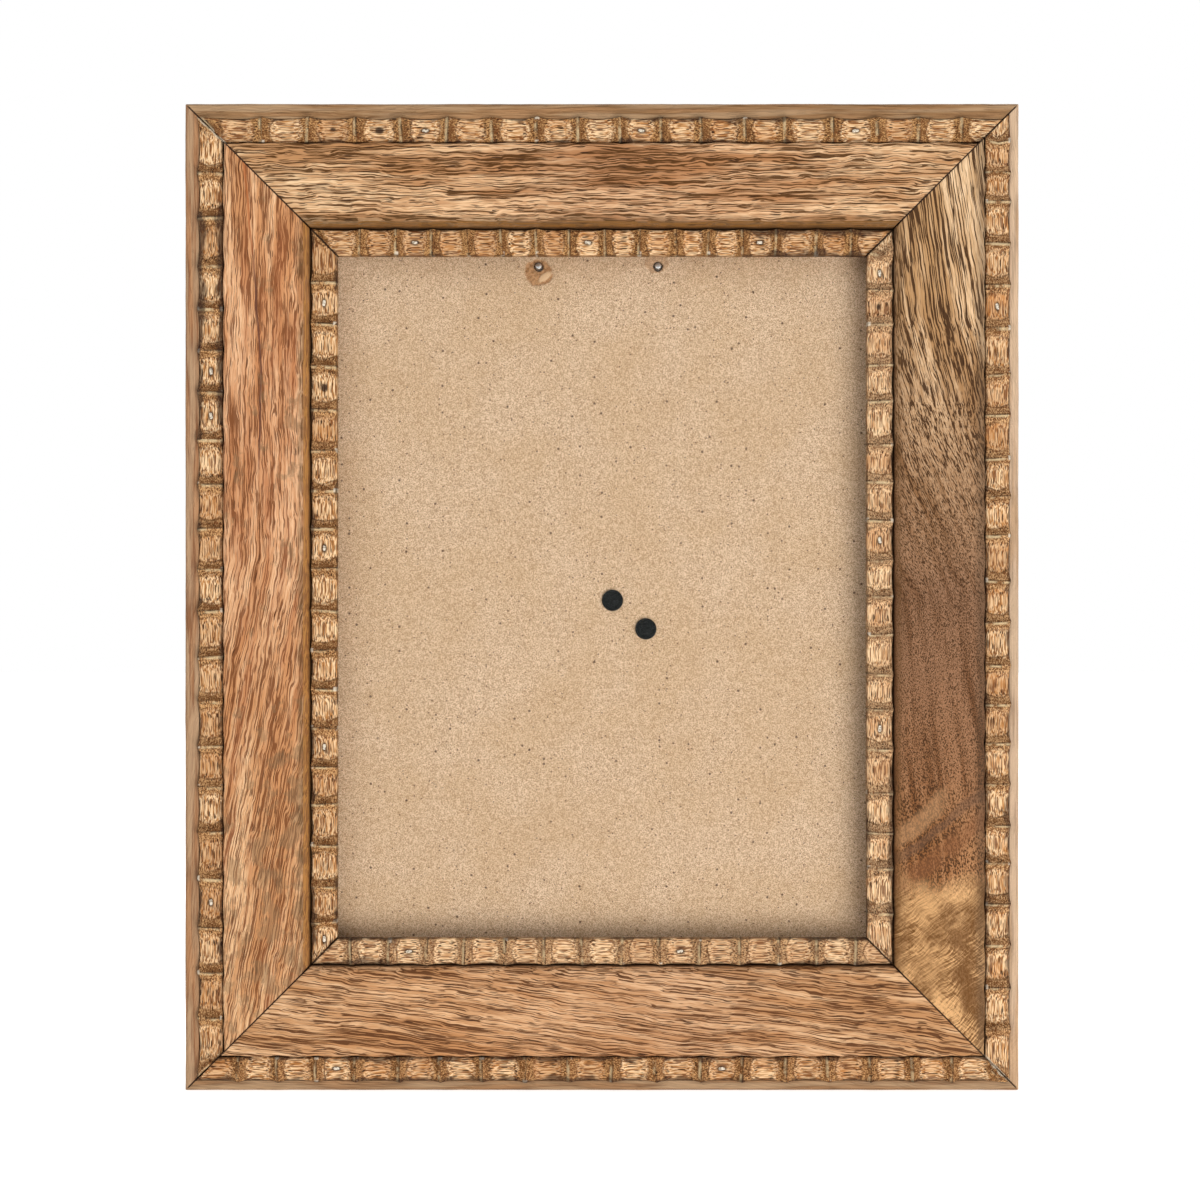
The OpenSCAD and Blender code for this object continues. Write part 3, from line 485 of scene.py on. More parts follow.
def bead_wood(ring, side):
    """The carved strips: golden in the scoops, end grain on the slopes, a dark line on each crest."""
    m = Material(f"bead_wood_{ring}_{SIDES[side]}")
    point, wavy = grain_point(m, (0.23 + 0.9 * side, 0.5 * (ring == "inner"), 0.11 * side), 0.8, 0.20)
    s = m.split(m.attribute("grain"))[0]
    t, cell, across = m.split(m.attribute("carve"))
    mark = m.attribute("mark", "Fac")
    mitre = m.attribute("mitre", "Fac")
    warm = {BOTTOM: 0.40, LEFT: 0.15, TOP: 0.40, RIGHT: 0.40}[side]
    edge_shade_and_dirt = {BOTTOM: 0.9, LEFT: 0.95, TOP: 0.9, RIGHT: 0.75}[side]
    steep = abs(t)
    rim = abs(across - 0.5)
    bowed = steep + rim * rim * 0.8
    tone = m.noise(point, (70, 130, 130), 2)
    blot = m.noise(point, (110, 190, 190), 3, 0.65, move=(5, 5, 5))
    fine = m.noise(wavy, (170, 2600, 2600), 1, 0.6)
    speck = m.noise(point, (2100, 2100, 2100), 1)
    gold = m.mix(m.step(fine, 0.36, 0.6), "#BE844C", "#FDD8A9")
    gold = m.mix(m.step(cell, 0.3, 1.0, 0.0, 0.5), gold, "#B67C48")
    gold = m.mix(m.step(tone, 0.48, 0.7, 0.0, warm), gold, "#CC8442")
    ribs = m.noise(m.join(t * 5.0, across * 2.0, cell), 1, 1)
    tan = m.mix(m.step(speck * 0.6 + ribs * 0.4, 0.4, 0.6), "#7C542E", LIT_SLOPE[side])
    # The shaded slope of each crest is painted darker
    shaded_slope = m.step(t * SHADED_SLOPE[side], 0.35, 0.75)
    tan = m.mix(shaded_slope * 0.22, tan, "#6C4A2C")
    slope = m.step(bowed + centred(tone, 0.5), 0.6, 0.74)
    m.paint = m.mix(slope, gold, tan)
    if (ring, side) in (("inner", RIGHT), ("inner", BOTTOM)):
        m.coat(0.14, "#FFE6C0")
    # Dashes in the flat of a scoop become dots where the cut runs across the grain
    dash = m.step(m.noise(wavy, (140, 2600, 2600), 1, move=(2, 2, 2)), 0.52, 0.58)
    m.coat(dash * 0.78, "#683614")
    pore = pores(m, wavy, 220, 1900, 0.40, 0.70)
    m.coat(pore * 0.92, "#301A0C")
    # Burnt arcs where the gouge left the cut, painted darker on the shaded slope as shade
    arc = abs(bowed + centred(blot, 0.4) - 0.68)
    facing = m.step(t * SHADED_SLOPE[side], -0.5, 0.5, 0.35, 0.75)
    burn = m.step(arc, 0.07, 0.015) * facing * m.step(blot, 0.35, 0.6, 0.2, 1.0)
    m.coat(burn, "#5E3C20")
    # The crest: a thin dark line, with a painted highlight beside it on the lit slope
    pale = m.step(t * -SHADED_SLOPE[side], 0.82, 0.92) * m.step(blot, 0.4, 0.6, 0.0, 0.7)
    m.coat(pale, "#E8CFA2")
    crest = m.step(steep + centred(blot, 0.08), 0.95, 0.98) * m.step(tone, 0.38, 0.54, 0.15, 1.0)
    m.coat(crest * 0.85, "#38220F")
    # Small pale nicks at the ends of some crests: chipped wood, and a painted glint on those corners
    nick_and_glint = m.step(steep, 0.86, 0.93) * m.step(rim, 0.36, 0.42)
    nick_and_glint *= m.step(m.noise(point, (160, 160, 160), 1, move=(9, 9, 9)), 0.56, 0.62)
    m.coat(nick_and_glint * 0.8, "#EADCC6")
    # Painted shade along the strip's long edges, with old wax stain
    m.coat(strip_edge_shade_and_stain(m, ring, side, s, rim, across, blot, cell) * edge_shade_and_dirt, "#2F1B14")
    # A thin dark line along each long edge, faint where the inner strips meet the opening
    far = m.step(across, 0.1, 0.9, 0.6, 0.35) if ring == "inner" else 1.0
    edge = m.step(rim + centred(speck, 0.05), 0.47, 0.49, 0.0, 0.9) * far
    m.coat(edge, "#1F130D")
    m.coat(mark * 0.9, "#2A1911")
    # Pale filler in two of the mitres, dirt in the rest
    m.coat(m.step_mm(mitre, 0.6, 0.15, 0.0, 0.9), "#2B1B13")
    if ring == "outer":
        filled = m.step_mm(mitre + centred(blot, 5 * MM), 0.9, 0.35)
        filled *= m.step_mm(s * FILLED_END[side], 0, 10)
        m.coat(filled * 0.8, "#DCCBB2")
    grit = speck * slope * 0.8
    height = fine * 0.5 + grit - (pore + dash * 0.4)
    return m.set(Base_Color=m.paint, Roughness=m.step(fine, 0.2, 0.8, 0.5, 0.68),
                 Normal=m.bump(height, 0.16, 0.9), Specular_IOR_Level=WAX_SHINE)


def fibreboard():
    """Raw medium-density fibreboard: mottled tan with dark specks and short curved hairs."""
    m = Material("fibreboard")
    point = m.point()
    mottle = m.noise(point, 2600, 1.5, 0.6)
    mid = m.noise(point, 900, 2, 0.7)
    cloud = m.noise(point, 30, 3, 0.6)
    m.paint = m.mix(m.step(mottle, 0.32, 0.64), "#A98868", "#EACEAE")
    m.coat(m.step(mid, 0.34, 0.58, 0.35, 0.0), "#B0906E")
    m.coat(m.step(cloud, 0.35, 0.66, 0.22, 0.0), "#B9925F")
    curl = m.node("VectorMath", {0: m.noise(point, 260, 2, out="Color"), 1: (0.005, 0.005, 0.005)},
                  operation="MULTIPLY")
    curled = m.shift(point, curl)
    marks = None
    for turn, shift in ((20, 0.0), (95, 0.7), (150, 1.9)):
        swung = m.spread(curled, (1, 1, 1), turn=(0, radians(turn), 0))
        laid = m.spread(swung, (230, 1, 1700), (shift, 0, shift))
        gate = m.step(m.noise(point, (170, 1, 170), 1, move=(shift, 0, shift)), 0.62, 0.67)
        hair = m.step(m.cells(laid), 0.16, 0.09) * gate
        marks = marks.at_least(hair) if marks else hair
    m.coat(marks * 0.85, "#4A3222")
    for size, amount in ((380, 0.22), (760, 0.27)):
        spot = m.cells(point, size)
        pick = m.split(spot.other("Color"))[0]
        dot = m.step(spot, amount, amount * 0.55) * m.math("GREATER_THAN", pick, 0.88)
        m.coat(dot * 0.85, "#54392A")
    chip, flake, hole = (m.attribute(name, "Fac") for name in ("chip", "flake", "hole"))
    m.coat(chip * 0.88, m.mix(m.step(mid, 0.36, 0.62), "#8F6239", "#BE8E60"))
    m.coat(flake * 0.85, "#DDB88E")
    # The ring round each nail: its torn hole, painted dark also as the shade inside it
    m.coat(hole, "#241812")
    return m.set(Base_Color=m.paint, Roughness=0.85, Normal=m.bump(mottle, 0.06, 0.6),
                 Specular_IOR_Level=0.15)


def black_steel():
    """Satin black paint with a little grit in it."""
    m = Material("black_steel")
    point = m.point()
    grit = m.noise(point, 900, 3, 0.7)
    patch = m.noise(point, 160, 3, 0.6)
    m.paint = m.mix(m.step(patch, 0.35, 0.7), "#050606", "#101211")
    m.coat(m.step(grit, 0.66, 0.74, 0.0, 0.35), "#3C3E3C")
    return m.set(Base_Color=m.paint, Roughness=m.step(patch, 0.3, 0.7, 0.18, 0.34),
                 Normal=m.bump(grit, 0.02, 0.4), Specular_IOR_Level=0.10)


def zinc_steel():
    """Zinc plate with a dull bloom and drawn marks."""
    m = Material("zinc_steel")
    point = m.point()
    bloom = m.noise(point, 500, 4, 0.65)
    drawn = m.noise(point, (900, 900, 90), 2)
    m.paint = m.mix(m.step(bloom, 0.35, 0.65), "#B4B5B3", "#E4E5E2")
    m.coat(m.step(bloom, 0.64, 0.76, 0.0, 0.5), "#7A7062")
    return m.set(Base_Color=m.paint, Metallic=0.85, Roughness=m.step(bloom, 0.3, 0.7, 0.26, 0.42),
                 Normal=m.bump(drawn, 0.02, 0.4))


def worn_zinc():
    """The brads: zinc gone dull and brown under the wax."""
    m = Material("worn_zinc")
    point = m.point()
    bloom = m.noise(point, 1400, 3, 0.65)
    m.paint = m.mix(m.step(bloom, 0.36, 0.56), "#84725C", "#E6DAC6")
    return m.set(Base_Color=m.paint, Metallic=0.15, Roughness=m.step(bloom, 0.3, 0.7, 0.4, 0.6),
                 Normal=m.bump(bloom, 0.05, 0.5))


def leg_board():
    """Smooth-faced hardboard with a fibrous speckle and a few pale hairs."""
    m = Material("leg_board")
    point = m.point()
    fleck = m.noise(point, 1100, 3, 0.75)
    cloud = m.noise(point, 60, 3, 0.6)
    m.paint = m.mix(m.step(fleck, 0.3, 0.7), "#4E3626", "#7A5A40")
    m.coat(m.step(cloud, 0.35, 0.7, 0.0, 0.35), "#8A6A4C")
    hair = m.step(m.cells(m.spread(point, (260, 1, 1700), turn=(0, 0.7, 0))), 0.12, 0.06)
    m.coat(hair * 0.35, "#A88763")
    return m.set(Base_Color=m.paint, Roughness=m.step(cloud, 0.3, 0.7, 0.42, 0.6),
                 Normal=m.bump(fleck, 0.05, 0.5))


def clear_glass():
    """Thin picture glass: clear face on, glossier at a slant, faintly green, with a few dust specks."""
    m = Material("clear_glass")
    point = m.point()
    dust = m.step(m.cells(point, 260), 0.05, 0.02) * m.step(m.noise(point, 90, 1), 0.62, 0.66)
    slant = m.math("POWER", m.node("LayerWeight", {"Blend": 0.5}, "Facing"), 3.0)
    smear = m.step(m.noise(point, 40, 2), 0.3, 0.7, 0.02, 0.05)
    return m.set(Base_Color=m.mix(dust, "#E4EFEA", "#F4F1EA"), Roughness=smear,
                 Alpha=slant * 0.35 + dust * 0.2 + 0.006)


# Geometry helpers

def put(name, data):
    """Puts a mesh, lamp or camera into the scene."""
    made = bpy.data.objects.new(name, data)
    bpy.context.scene.collection.objects.link(made)
    return made


def enrol(name, mesh, body, node):
    """Puts a mesh into the scene as a piece that rides a CAD body and takes the place of one of its nodes."""
    piece = put(name, mesh)
    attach(piece, body)
    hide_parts(node)
    return piece


def new_piece(name, node, verts, faces, material, slot, angle=32, attributes=()):
    """Makes a piece of the frame body from points in metres, shades it, and puts it in its node's place."""
    mesh = bpy.data.meshes.new(name)
    mesh.from_pydata(verts, [], faces)
    mesh.validate()
    for key, kind, values in attributes:
        made = mesh.attributes.new(key, "FLOAT_VECTOR" if kind == 3 else "FLOAT", "POINT")
        made.data.foreach_set("vector" if kind == 3 else "value", values)
    mesh.materials.append(material)
    mesh.shade_smooth()
    mesh.set_sharp_from_angle(angle=radians(angle))
    enrol(name, mesh, "frame", node)


def loft(rows):
    """Faces of a tube through equal rows of points, with its two ends closed by one face each."""
    n = len(rows[0])
    faces = []
    for r in range(len(rows) - 1):
        for c in range(n):
            a, b = r * n + c, r * n + (c + 1) % n
            faces.append((a, a + n, b + n, b))
    faces.append(tuple(range(n)))
    last = (len(rows) - 1) * n
    faces.append(tuple(range(last, last + n))[::-1])
    return faces


def lathe(profile, axis_from, axis_dir, around=40):
    """Points and faces of a turned shape: profile is (radius, height) in mm, from its low end to its high."""
    axis = Vector(axis_dir).normalized()
    side = axis.orthogonal().normalized()
    other = axis.cross(side)
    start = Vector(axis_from)
    verts, faces, rings = [], [], []
    for radius, height in profile:
        # A ring on the axis is one point
        rings.append([len(verts) + (k if radius else 0) for k in range(around)])
        for k in range(around if radius else 1):
            a = 2 * pi * k / around
            out = side * cos(a) + other * sin(a)
            verts.append(start + axis * height * MM + out * radius * MM)
    for low, high in zip(rings, rings[1:]):
        for k in range(around):
            j = (k + 1) % around
            faces.append(list(dict.fromkeys((low[k], low[j], high[j], high[k]))))
    faces.append(rings[0][::-1])
    if profile[-1][0]:
        faces.append(rings[-1])
    return verts, faces


def joined(meshes):
    """Several (points, faces) as one."""
    verts, faces = [], []
    for points, polygons in meshes:
        start = len(verts)
        verts += points
        faces += [[start + k for k in polygon] for polygon in polygons]
    return verts, faces


def flat(rows):
    """Rows of points as one list."""
    return [point for row in rows for point in row]


# Rails

def rail_profile(side):
    """The closed section of a rail: (u, v, outward u, outward v, how much the hand left uneven)."""
    land, band_out = LAND[side], BAND_OUT[side]
    mid, half = (band_out + BAND_IN) / 2, (BAND_IN - band_out) / 2
    crown_r = (half * half + CROWN * CROWN) / (2 * CROWN)
    points = []

    def line(a, b, steps, uneven):
        du, dv = b[0] - a[0], b[1] - a[1]
        size = hypot(du, dv)
        for k in range(steps):
            f = k / steps
            points.append((a[0] + du * f, a[1] + dv * f, -dv / size, du / size, uneven))

    def arc(cu, cv, r, start, end, steps, uneven):
        for k in range(steps + 1):
            a = radians(start + (end - start) * k / steps)
            points.append((cu + r * cos(a), cv + r * sin(a), cos(a), sin(a), uneven))

    def crown(u):
        return BAND_H - crown_r + sqrt(crown_r ** 2 - (u - mid) ** 2)

    rear = 0.05
    line((0, rear), (0, LAND_H - LAND_R), 10, 0.03)
    arc(LAND_R, LAND_H - LAND_R, LAND_R, 180, 90, 6, 0.12)
    line((LAND_R + 0.2, LAND_H), (land - LAND_INNER_R, LAND_H), 8, 0.08)
    arc(land - LAND_INNER_R, LAND_H - LAND_INNER_R, LAND_INNER_R, 90, 0, 3, 0.05)
    line((land, LAND_H - 0.6), (land, OUTER_BED), 2, 0)
    line((land, OUTER_BED), (band_out, OUTER_BED), 3, 0)
    cu, cv = band_out + BAND_OUTER_R, crown(band_out + BAND_OUTER_R) - BAND_OUTER_R
    line((band_out, OUTER_BED), (band_out, cv), 4, 0.02)
    arc(cu, cv, BAND_OUTER_R, 180, 101, 5, 0.06)
    inner_u = BAND_IN - BAND_INNER_R
    first, last = cu + 0.3, inner_u - 0.6
    for k in range(27):
        u = first + (last - first) * k / 26
        lean = (u - mid) / crown_r
        points.append((u, crown(u), lean, sqrt(1 - lean * lean), 0.14))
    arc(inner_u, crown(inner_u) - BAND_INNER_R, BAND_INNER_R, 80, 0, 10, 0.10)
    line((BAND_IN, crown(inner_u) - BAND_INNER_R - 0.3), (BAND_IN, INNER_BED), 3, 0.02)
    lip, rebate = RAIL_W - LIP_BACK, RAIL_W - REBATE[side]
    line((BAND_IN, INNER_BED), (lip, INNER_BED), 3, 0)
    line((lip, INNER_BED), (lip, REBATE_DEPTH), 4, 0)
    line((lip, REBATE_DEPTH), (rebate, REBATE_DEPTH), 3, 0)
    line((rebate, REBATE_DEPTH), (rebate, rear), 5, 0)
    line((rebate, rear), (0, rear), 22, 0)
    return points


def rail(side, strip):
    """One rail; strip is the outer one beside its band, whose gouge cuts left the band's arris wavy."""
    profile = rail_profile(side)
    near = (0, 0.1, 0.25, 0.5, 1, 2, 4)
    steps = 190
    rows, grain, mitre = [], [], []

    def add(position):
        row = []
        for u, v, nu, nv, uneven in profile:
            reach = half_run(side, u)
            s = position(reach)
            ends = reach - abs(s)
            # Dents and a slow waviness go inwards only, and the mitre's arris is a little worn
            push = uneven * (wobble(s * 0.035, u * 0.12, 3.1 + side) - 0.9)
            push += 0.5 * uneven * wobble(s * 0.21, u * 0.3, 7.7 + side)
            if uneven:
                push -= (0.16 + 0.1 * wobble(u * 0.4, s * 0.01, side)) * (1 - smooth(0, 0.4, ends))
            push = min(push, 0)
            past = u - BAND_OUT[side]
            lip = smooth(15.0, 17.0, v) * (1 - smooth(0.4, 2.2, past)) * (past > -0.1)
            wave = 0.45 * lip * (1 - strip.gap(s)[1] ** 2) * smooth(4, 9, ends)
            u, v = u - wave + nu * push, v + nv * push
            row.append(place(side, u, v, s))
            grain.extend((s * MM, u * MM, v * MM))
            mitre.append(ends * MM)
        rows.append(row)

    for d in near:
        add(lambda reach: -reach + d)
    for k in range(1, steps):
        add(lambda reach: (near[-1] - reach) + 2 * (reach - near[-1]) * k / steps)
    for d in reversed(near):
        add(lambda reach: reach - d)
    name = f"rail_{SIDES[side]}"
    new_piece(f"{name}_wood", name, flat(rows), loft(rows), rail_wood(side), "rail_wood",
              attributes=[("grain", 3, grain), ("mitre", 1, mitre)])


# Carved strips

class Strip:
    """One carved strip: where its crests are, how deep each scoop goes, and its shape at any point."""

    def __init__(self, ring, side):
        self.ring, self.side = ring, side
        self.width, self.bed = BEAD_W[ring], BEAD_BED[ring]
        self.u = RAIL_W - self.width if ring == "inner" else LAND[side] + BEAD_PLAY
        crests = list(CRESTS[ring, side])
        first, last = crests[1] - crests[0], crests[-1] - crests[-2]
        self.crests = [crests[0] - 2 * first, crests[0] - first] + crests + [crests[-1] + last,
                                                                             crests[-1] + 2 * last]
        rand = random.Random(17 + 4 * side + (ring == "inner"))
        count = len(self.crests)
        self.depth = [SCOOP * rand.uniform(0.90, 1.0) for _ in range(count)]
        self.turn = [rand.uniform(-0.055, 0.055) for _ in range(count)]
        self.flat = [rand.uniform(0.3, 0.8) for _ in range(count)]
        self.cell = [rand.random() for _ in range(count)]
        self.drop = [rand.uniform(0.0, 0.35) for _ in range(count)]
        self.reach = half_run(side, self.u + self.width / 2)

    def gap(self, r):
        """The scoop that holds r, and how far r is through it, from -1 to 1."""
        i = max(k for k in range(len(self.crests) - 1) if self.crests[k] <= r or k == 0)
        t = 2 * (r - self.crests[i]) / (self.crests[i + 1] - self.crests[i]) - 1
        return i, min(max(t, -1), 1)

    def top(self, r, x):
        """Height of the carved face above the bed, x from the strip's outer edge."""
        i, t = self.gap(r)
        wide = (self.crests[i + 1] - self.crests[i]) / 2
        j = i if t < 0 else i + 1
        flat = self.flat[j] / 2
        te = min(abs(t) * wide / (wide - flat), 1)
        floor = self.depth[i] * (1 - te ** 2.5)
        middle = (x / self.width - 0.5) * 2
        dome = DOME * middle * middle
        ridge = self.drop[j] + 0.14 * wobble(r * 0.9, x * 0.8, self.side + 5)
        crest = (dome + max(ridge, 0)) * smooth(0.45, 1, te)
        rough = 0.05 * wobble(r * 1.3, x * 1.7, 2.2) + 0.04 * wobble(r * 0.5, x * 4.1, 9.4)
        return BEAD_H - min(max(floor, 0) + crest + 0.25 * dome + max(rough, -0.02) + 0.02, BEAD_H - 0.8)

    def across(self, x, v):
        """Distance from the frame's edge of a point at x on the strip and v above its bed.

        The outer strips overhang the land at their crests. Beside the band a strip is narrower in its scoops.
        """
        far = x / self.width
        if self.ring == "outer":
            shift = -0.22 * max(v - 1.4, 0) * (1 - far) - 0.20 * (BEAD_H - max(v, 2.2)) * far
        else:
            shift = 0.08 * (BEAD_H - max(v, 2.2)) * (1 - far) - 0.06 * max(v - 1.4, 0) * far
        return self.u + x + shift

    def edge(self, t):
        """Radius of the strip's long edges: rounder in the scoops than on the crests."""
        return 0.95 - 0.4 * smooth(0.5, 1, abs(t))

    def middle(self, i):
        """The middle of a scoop, counted from the first measured crest."""
        return (self.crests[i + 2] + self.crests[i + 3]) / 2

    def marks(self):
        """Dark places in the scoops, as (along, across, radius, how much longer than wide)."""
        rings = [(self.middle(i), self.width / 2, 0.75, 1.7) for i in NAILED[self.ring, self.side]]
        return rings + [(self.middle(i), self.width * share, size, 1.2)
                        for i, share, size in KNOTS.get((self.ring, self.side), ())]

    def rows(self):
        """Row places along the strip, close together at the crests and at marks."""
        places = []
        for a, b in zip(self.crests, self.crests[1:]):
            count = 44 if any(a < at < b for at, *_ in self.marks()) else 20
            places += [a + (b - a) * (0.5 - 0.5 * cos(pi * k / count)) for k in range(count)]
        inside = [r for r in places if abs(r) < self.reach - 0.6]
        ends = (0, 0.12, 0.3)
        return [-self.reach + e for e in ends] + inside + [self.reach - e for e in reversed(ends)]

    def tilt(self, r):
        """How far the gouge stood askew at r, between one scoop's turn and the next one's."""
        i, t = self.gap(r)
        return self.turn[i] + (self.turn[i + 1] - self.turn[i]) * (t + 1) / 2


# Dark pin knots in the scoops, as (scoop, share of the way across the strip, radius in mm)
KNOTS = {("outer", TOP): ((13, 0.5, 1.1), (12, 0.45, 0.6), (14, 0.45, 0.5)),
         ("inner", LEFT): ((2, 0.5, 1.0),), ("inner", RIGHT): ((15, 0.55, 0.6),)}


def bead(strip):
    """One carved strip as a mesh."""
    ring, side, w, bed = strip.ring, strip.side, strip.width, strip.bed
    grain, carve, mitre, marks, rows = [], [], [], [], []
    places, holes = strip.rows(), strip.marks()
    for r in places:
        i, t = strip.gap(r)
        er = strip.edge(t)
        section = [(0.0, 0.02), (0.0, 1.0)]
        rounds = [er * (1 - cos(a)) for a in (0, 0.4, 0.8, 1.2, pi / 2)]
        inner_xs = [er + (w - 2 * er) * k / 16 for k in range(1, 16)]
        xs = rounds + inner_xs + [w - x for x in reversed(rounds)]
        for x in xs:
            near = min(x, w - x)
            fall = er - sqrt(max(er * er - (er - near) ** 2, 0)) if near < er else 0
            section.append((x, max(strip.top(r, min(max(x, er), w - er)) - fall, 1.2)))
        section += [(w, 1.0), (w, 0.02)]
        blend_mitre = smooth(strip.reach - 9, strip.reach, abs(r))
        row = []
        for x, v in section:
            # The long edges waver as a hand left them
            aside = 0.10 * wobble(r * 0.23, 5 * side + (x > w / 2), 3.3) * abs(2 * x / w - 1) ** 3
            inward = 0.06 if x < w / 2 else -0.06
            u = strip.across(x, v) + aside + inward
            skew = strip.tilt(r) * (x - w / 2) * (1 - blend_mitre)
            s = r + skew + copysign((w / 2 - x) * blend_mitre, r)
            s = max(min(s, half_run(side, u)), -half_run(side, u))
            ends = half_run(side, u) - abs(s)
            worn = 0.3 * (1 - smooth(0, 0.35, ends)) if v > 1.1 else 0
            row.append(place(side, u, bed + v - worn, s))
            grain.extend((s * MM, u * MM, (bed + v) * MM))
            carve.extend((t, strip.cell[i], x / w))
            mitre.append(ends * MM)
            marks.append(max((1 - smooth(size, size + 0.6, hypot((r - at) / stretch, x - mid))
                              for at, mid, size, stretch in holes), default=0) if v > 1.1 else 0)
        rows.append(row)
    name = f"{ring}_bead_{SIDES[side]}"
    new_piece(f"{name}_carved", name, flat(rows), loft(rows), bead_wood(ring, side), "bead_wood", angle=50,
              attributes=[("grain", 3, grain), ("carve", 3, carve), ("mitre", 1, mitre), ("mark", 1, marks)])


def rounded(value):
    """A cosine or sine drawn out, for an oblong with round corners."""
    return copysign(abs(value) ** 0.5, value)


def brads(strips, material):
    """The brads' T-shaped heads, bedded in the scoops that hold one."""
    made = []
    rand = random.Random(5)
    for (ring, side), strip in strips.items():
        for i in NAILED[ring, side]:
            r, x = strip.middle(i), strip.width / 2
            top = strip.bed + strip.top(r, x) + 0.06
            u = strip.across(x, strip.top(r, x))
            turn = radians(rand.uniform(-12, 12))
            levels = ((top, 0.78), (top - 0.08, 1.0), (top - 0.4, 1.0), (top - 0.45, 0.55),
                      (strip.bed - 3, 0.5))
            rows = []
            for v, share in levels:
                row = []
                for k in range(16):
                    angle = 2 * pi * k / 16
                    # A rounded oblong, as wide as the shank and longer along the strip
                    along, side_on = 1.2 * share * rounded(cos(angle)), 0.55 * share * rounded(sin(angle))
                    if v < top - 0.42:
                        along = side_on if abs(along) < 1e-6 else copysign(min(abs(along), 0.5), along)
                    ds = along * cos(turn) - side_on * sin(turn)
                    du = along * sin(turn) + side_on * cos(turn)
                    row.append(place(side, u + du, v, r + ds))
                rows.append(row)
            made.append((flat(rows), loft(rows)))
    new_piece("brad_heads", "bead_brads", *joined(made), material, "zinc_steel")


# Back, rivets and nails

# Steps of the board's grid in mm, near the nails and elsewhere
FINE, COARSE = 0.4, 7


def spaced(low, high, points, reach):
    """Grid places from low to high, fine near some points and coarse elsewhere."""
    places = {low, high}
    steps = int((high - low) / COARSE)
    for k in range(1, steps):
        x = low + (high - low) * k / steps
        if all(abs(x - p) > reach for p in points):
            places.add(round(x, 3))
    for p in points:
        for k in range(int(-reach / FINE), int(reach / FINE) + 1):
            x = p + k * FINE
            if low < x < high:
                places.add(round(x, 3))
    return sorted(places)


# As in the CAD: the hanger's nails, the board's rivets, the run of the hinge pin, and the sheet steel's
# thickness
NAIL_Z = 297.95
NAIL_X = (-23.05, 20.45)
RIVET_MID, RIVET_GAP = (9.9, OUT_H / 2 - 6.4), 16
HINGE_LINE = (0.760421, -0.649431)
SHEET = 0.8


def board_front(x, z):
    """How far the board's front face stands out at a point, then its bare chip, pale flake and nail hole."""
    rag = 0.8 * wobble(x * 0.45, z * 0.45, 1.3) + 0.35 * wobble(x * 1.3, z * 1.3, 4.4)
    left = hypot(x - NAIL_X[0], (z - NAIL_Z + 2.2) * 1.05)
    right = hypot((x - NAIL_X[1] + 0.4) * 0.85, z - NAIL_Z - 1.5)
    chip = 1 - smooth(4.7, 5.3, left + rag)
    second = 1 - smooth(3.4, 4.0, right + rag)
    # The pale flake left standing lies along a slant below the left nail
    dx, dz = x - NAIL_X[0] - 2.2, z - NAIL_Z + 3.6
    along, aside = dx * 0.8 + dz * 0.6, -dx * 0.6 + dz * 0.8
    flake = (1 - smooth(0.75, 1.05, hypot(along / 3.1, aside / 1.3) + 0.12 * rag)) * chip
    nail = min(hypot(x - at, z - NAIL_Z) for at in NAIL_X)
    hole = 1 - smooth(1.55, 1.95, nail)
    rise = 0.25 * second * (1 - hole) - 0.45 * chip + 0.4 * flake - 0.4 * hole
    return rise, max(chip * (1 - 0.7 * flake), 0.5 * second), flake, hole


def backboard(material):
    """The board: a fine grid in front, torn round its nails, and a plain rear face."""
    half = GLASS_W / 2
    low = RAIL_W - REBATE[BOTTOM]
    xs = spaced(-half, half, NAIL_X, 8)
    zs = spaced(low, low + GLASS_H, (NAIL_Z,), 7.5)
    verts, kinds, faces = [], ([], [], []), []
    index = {}
    for face, level in ((0, BOARD_FRONT), (1, BOARD_REAR)):
        for j, z in enumerate(zs):
            for i, x in enumerate(xs):
                edge = i in (0, len(xs) - 1) or j in (0, len(zs) - 1)
                if face and not edge:
                    continue
                rise, *shares = (0, 0, 0, 0) if face or edge else board_front(x, z)
                index[face, i, j] = len(verts)
                verts.append((x * MM, (REAR_Y - level - rise) * MM, z * MM))
                for values, share in zip(kinds, shares):
                    values.append(share)
    nx, nz = len(xs), len(zs)
    for j in range(nz - 1):
        for i in range(nx - 1):
            faces.append([index[0, a, b] for a, b in ((i, j), (i + 1, j), (i + 1, j + 1), (i, j + 1))])
    rim = ([(i, 0) for i in range(nx)] + [(nx - 1, j) for j in range(1, nz)]
           + [(i, nz - 1) for i in range(nx - 2, -1, -1)] + [(0, j) for j in range(nz - 2, 0, -1)])
    for a, b in zip(rim, rim[1:] + rim[:1]):
        faces.append([index[0, *b], index[0, *a], index[1, *a], index[1, *b]])
    faces.append([index[1, *a] for a in reversed(rim)])
    new_piece("backboard_panel", "backboard", verts, faces, material, "fibreboard", angle=60,
              attributes=[(name, 1, values) for name, values in zip(("chip", "flake", "hole"), kinds)])


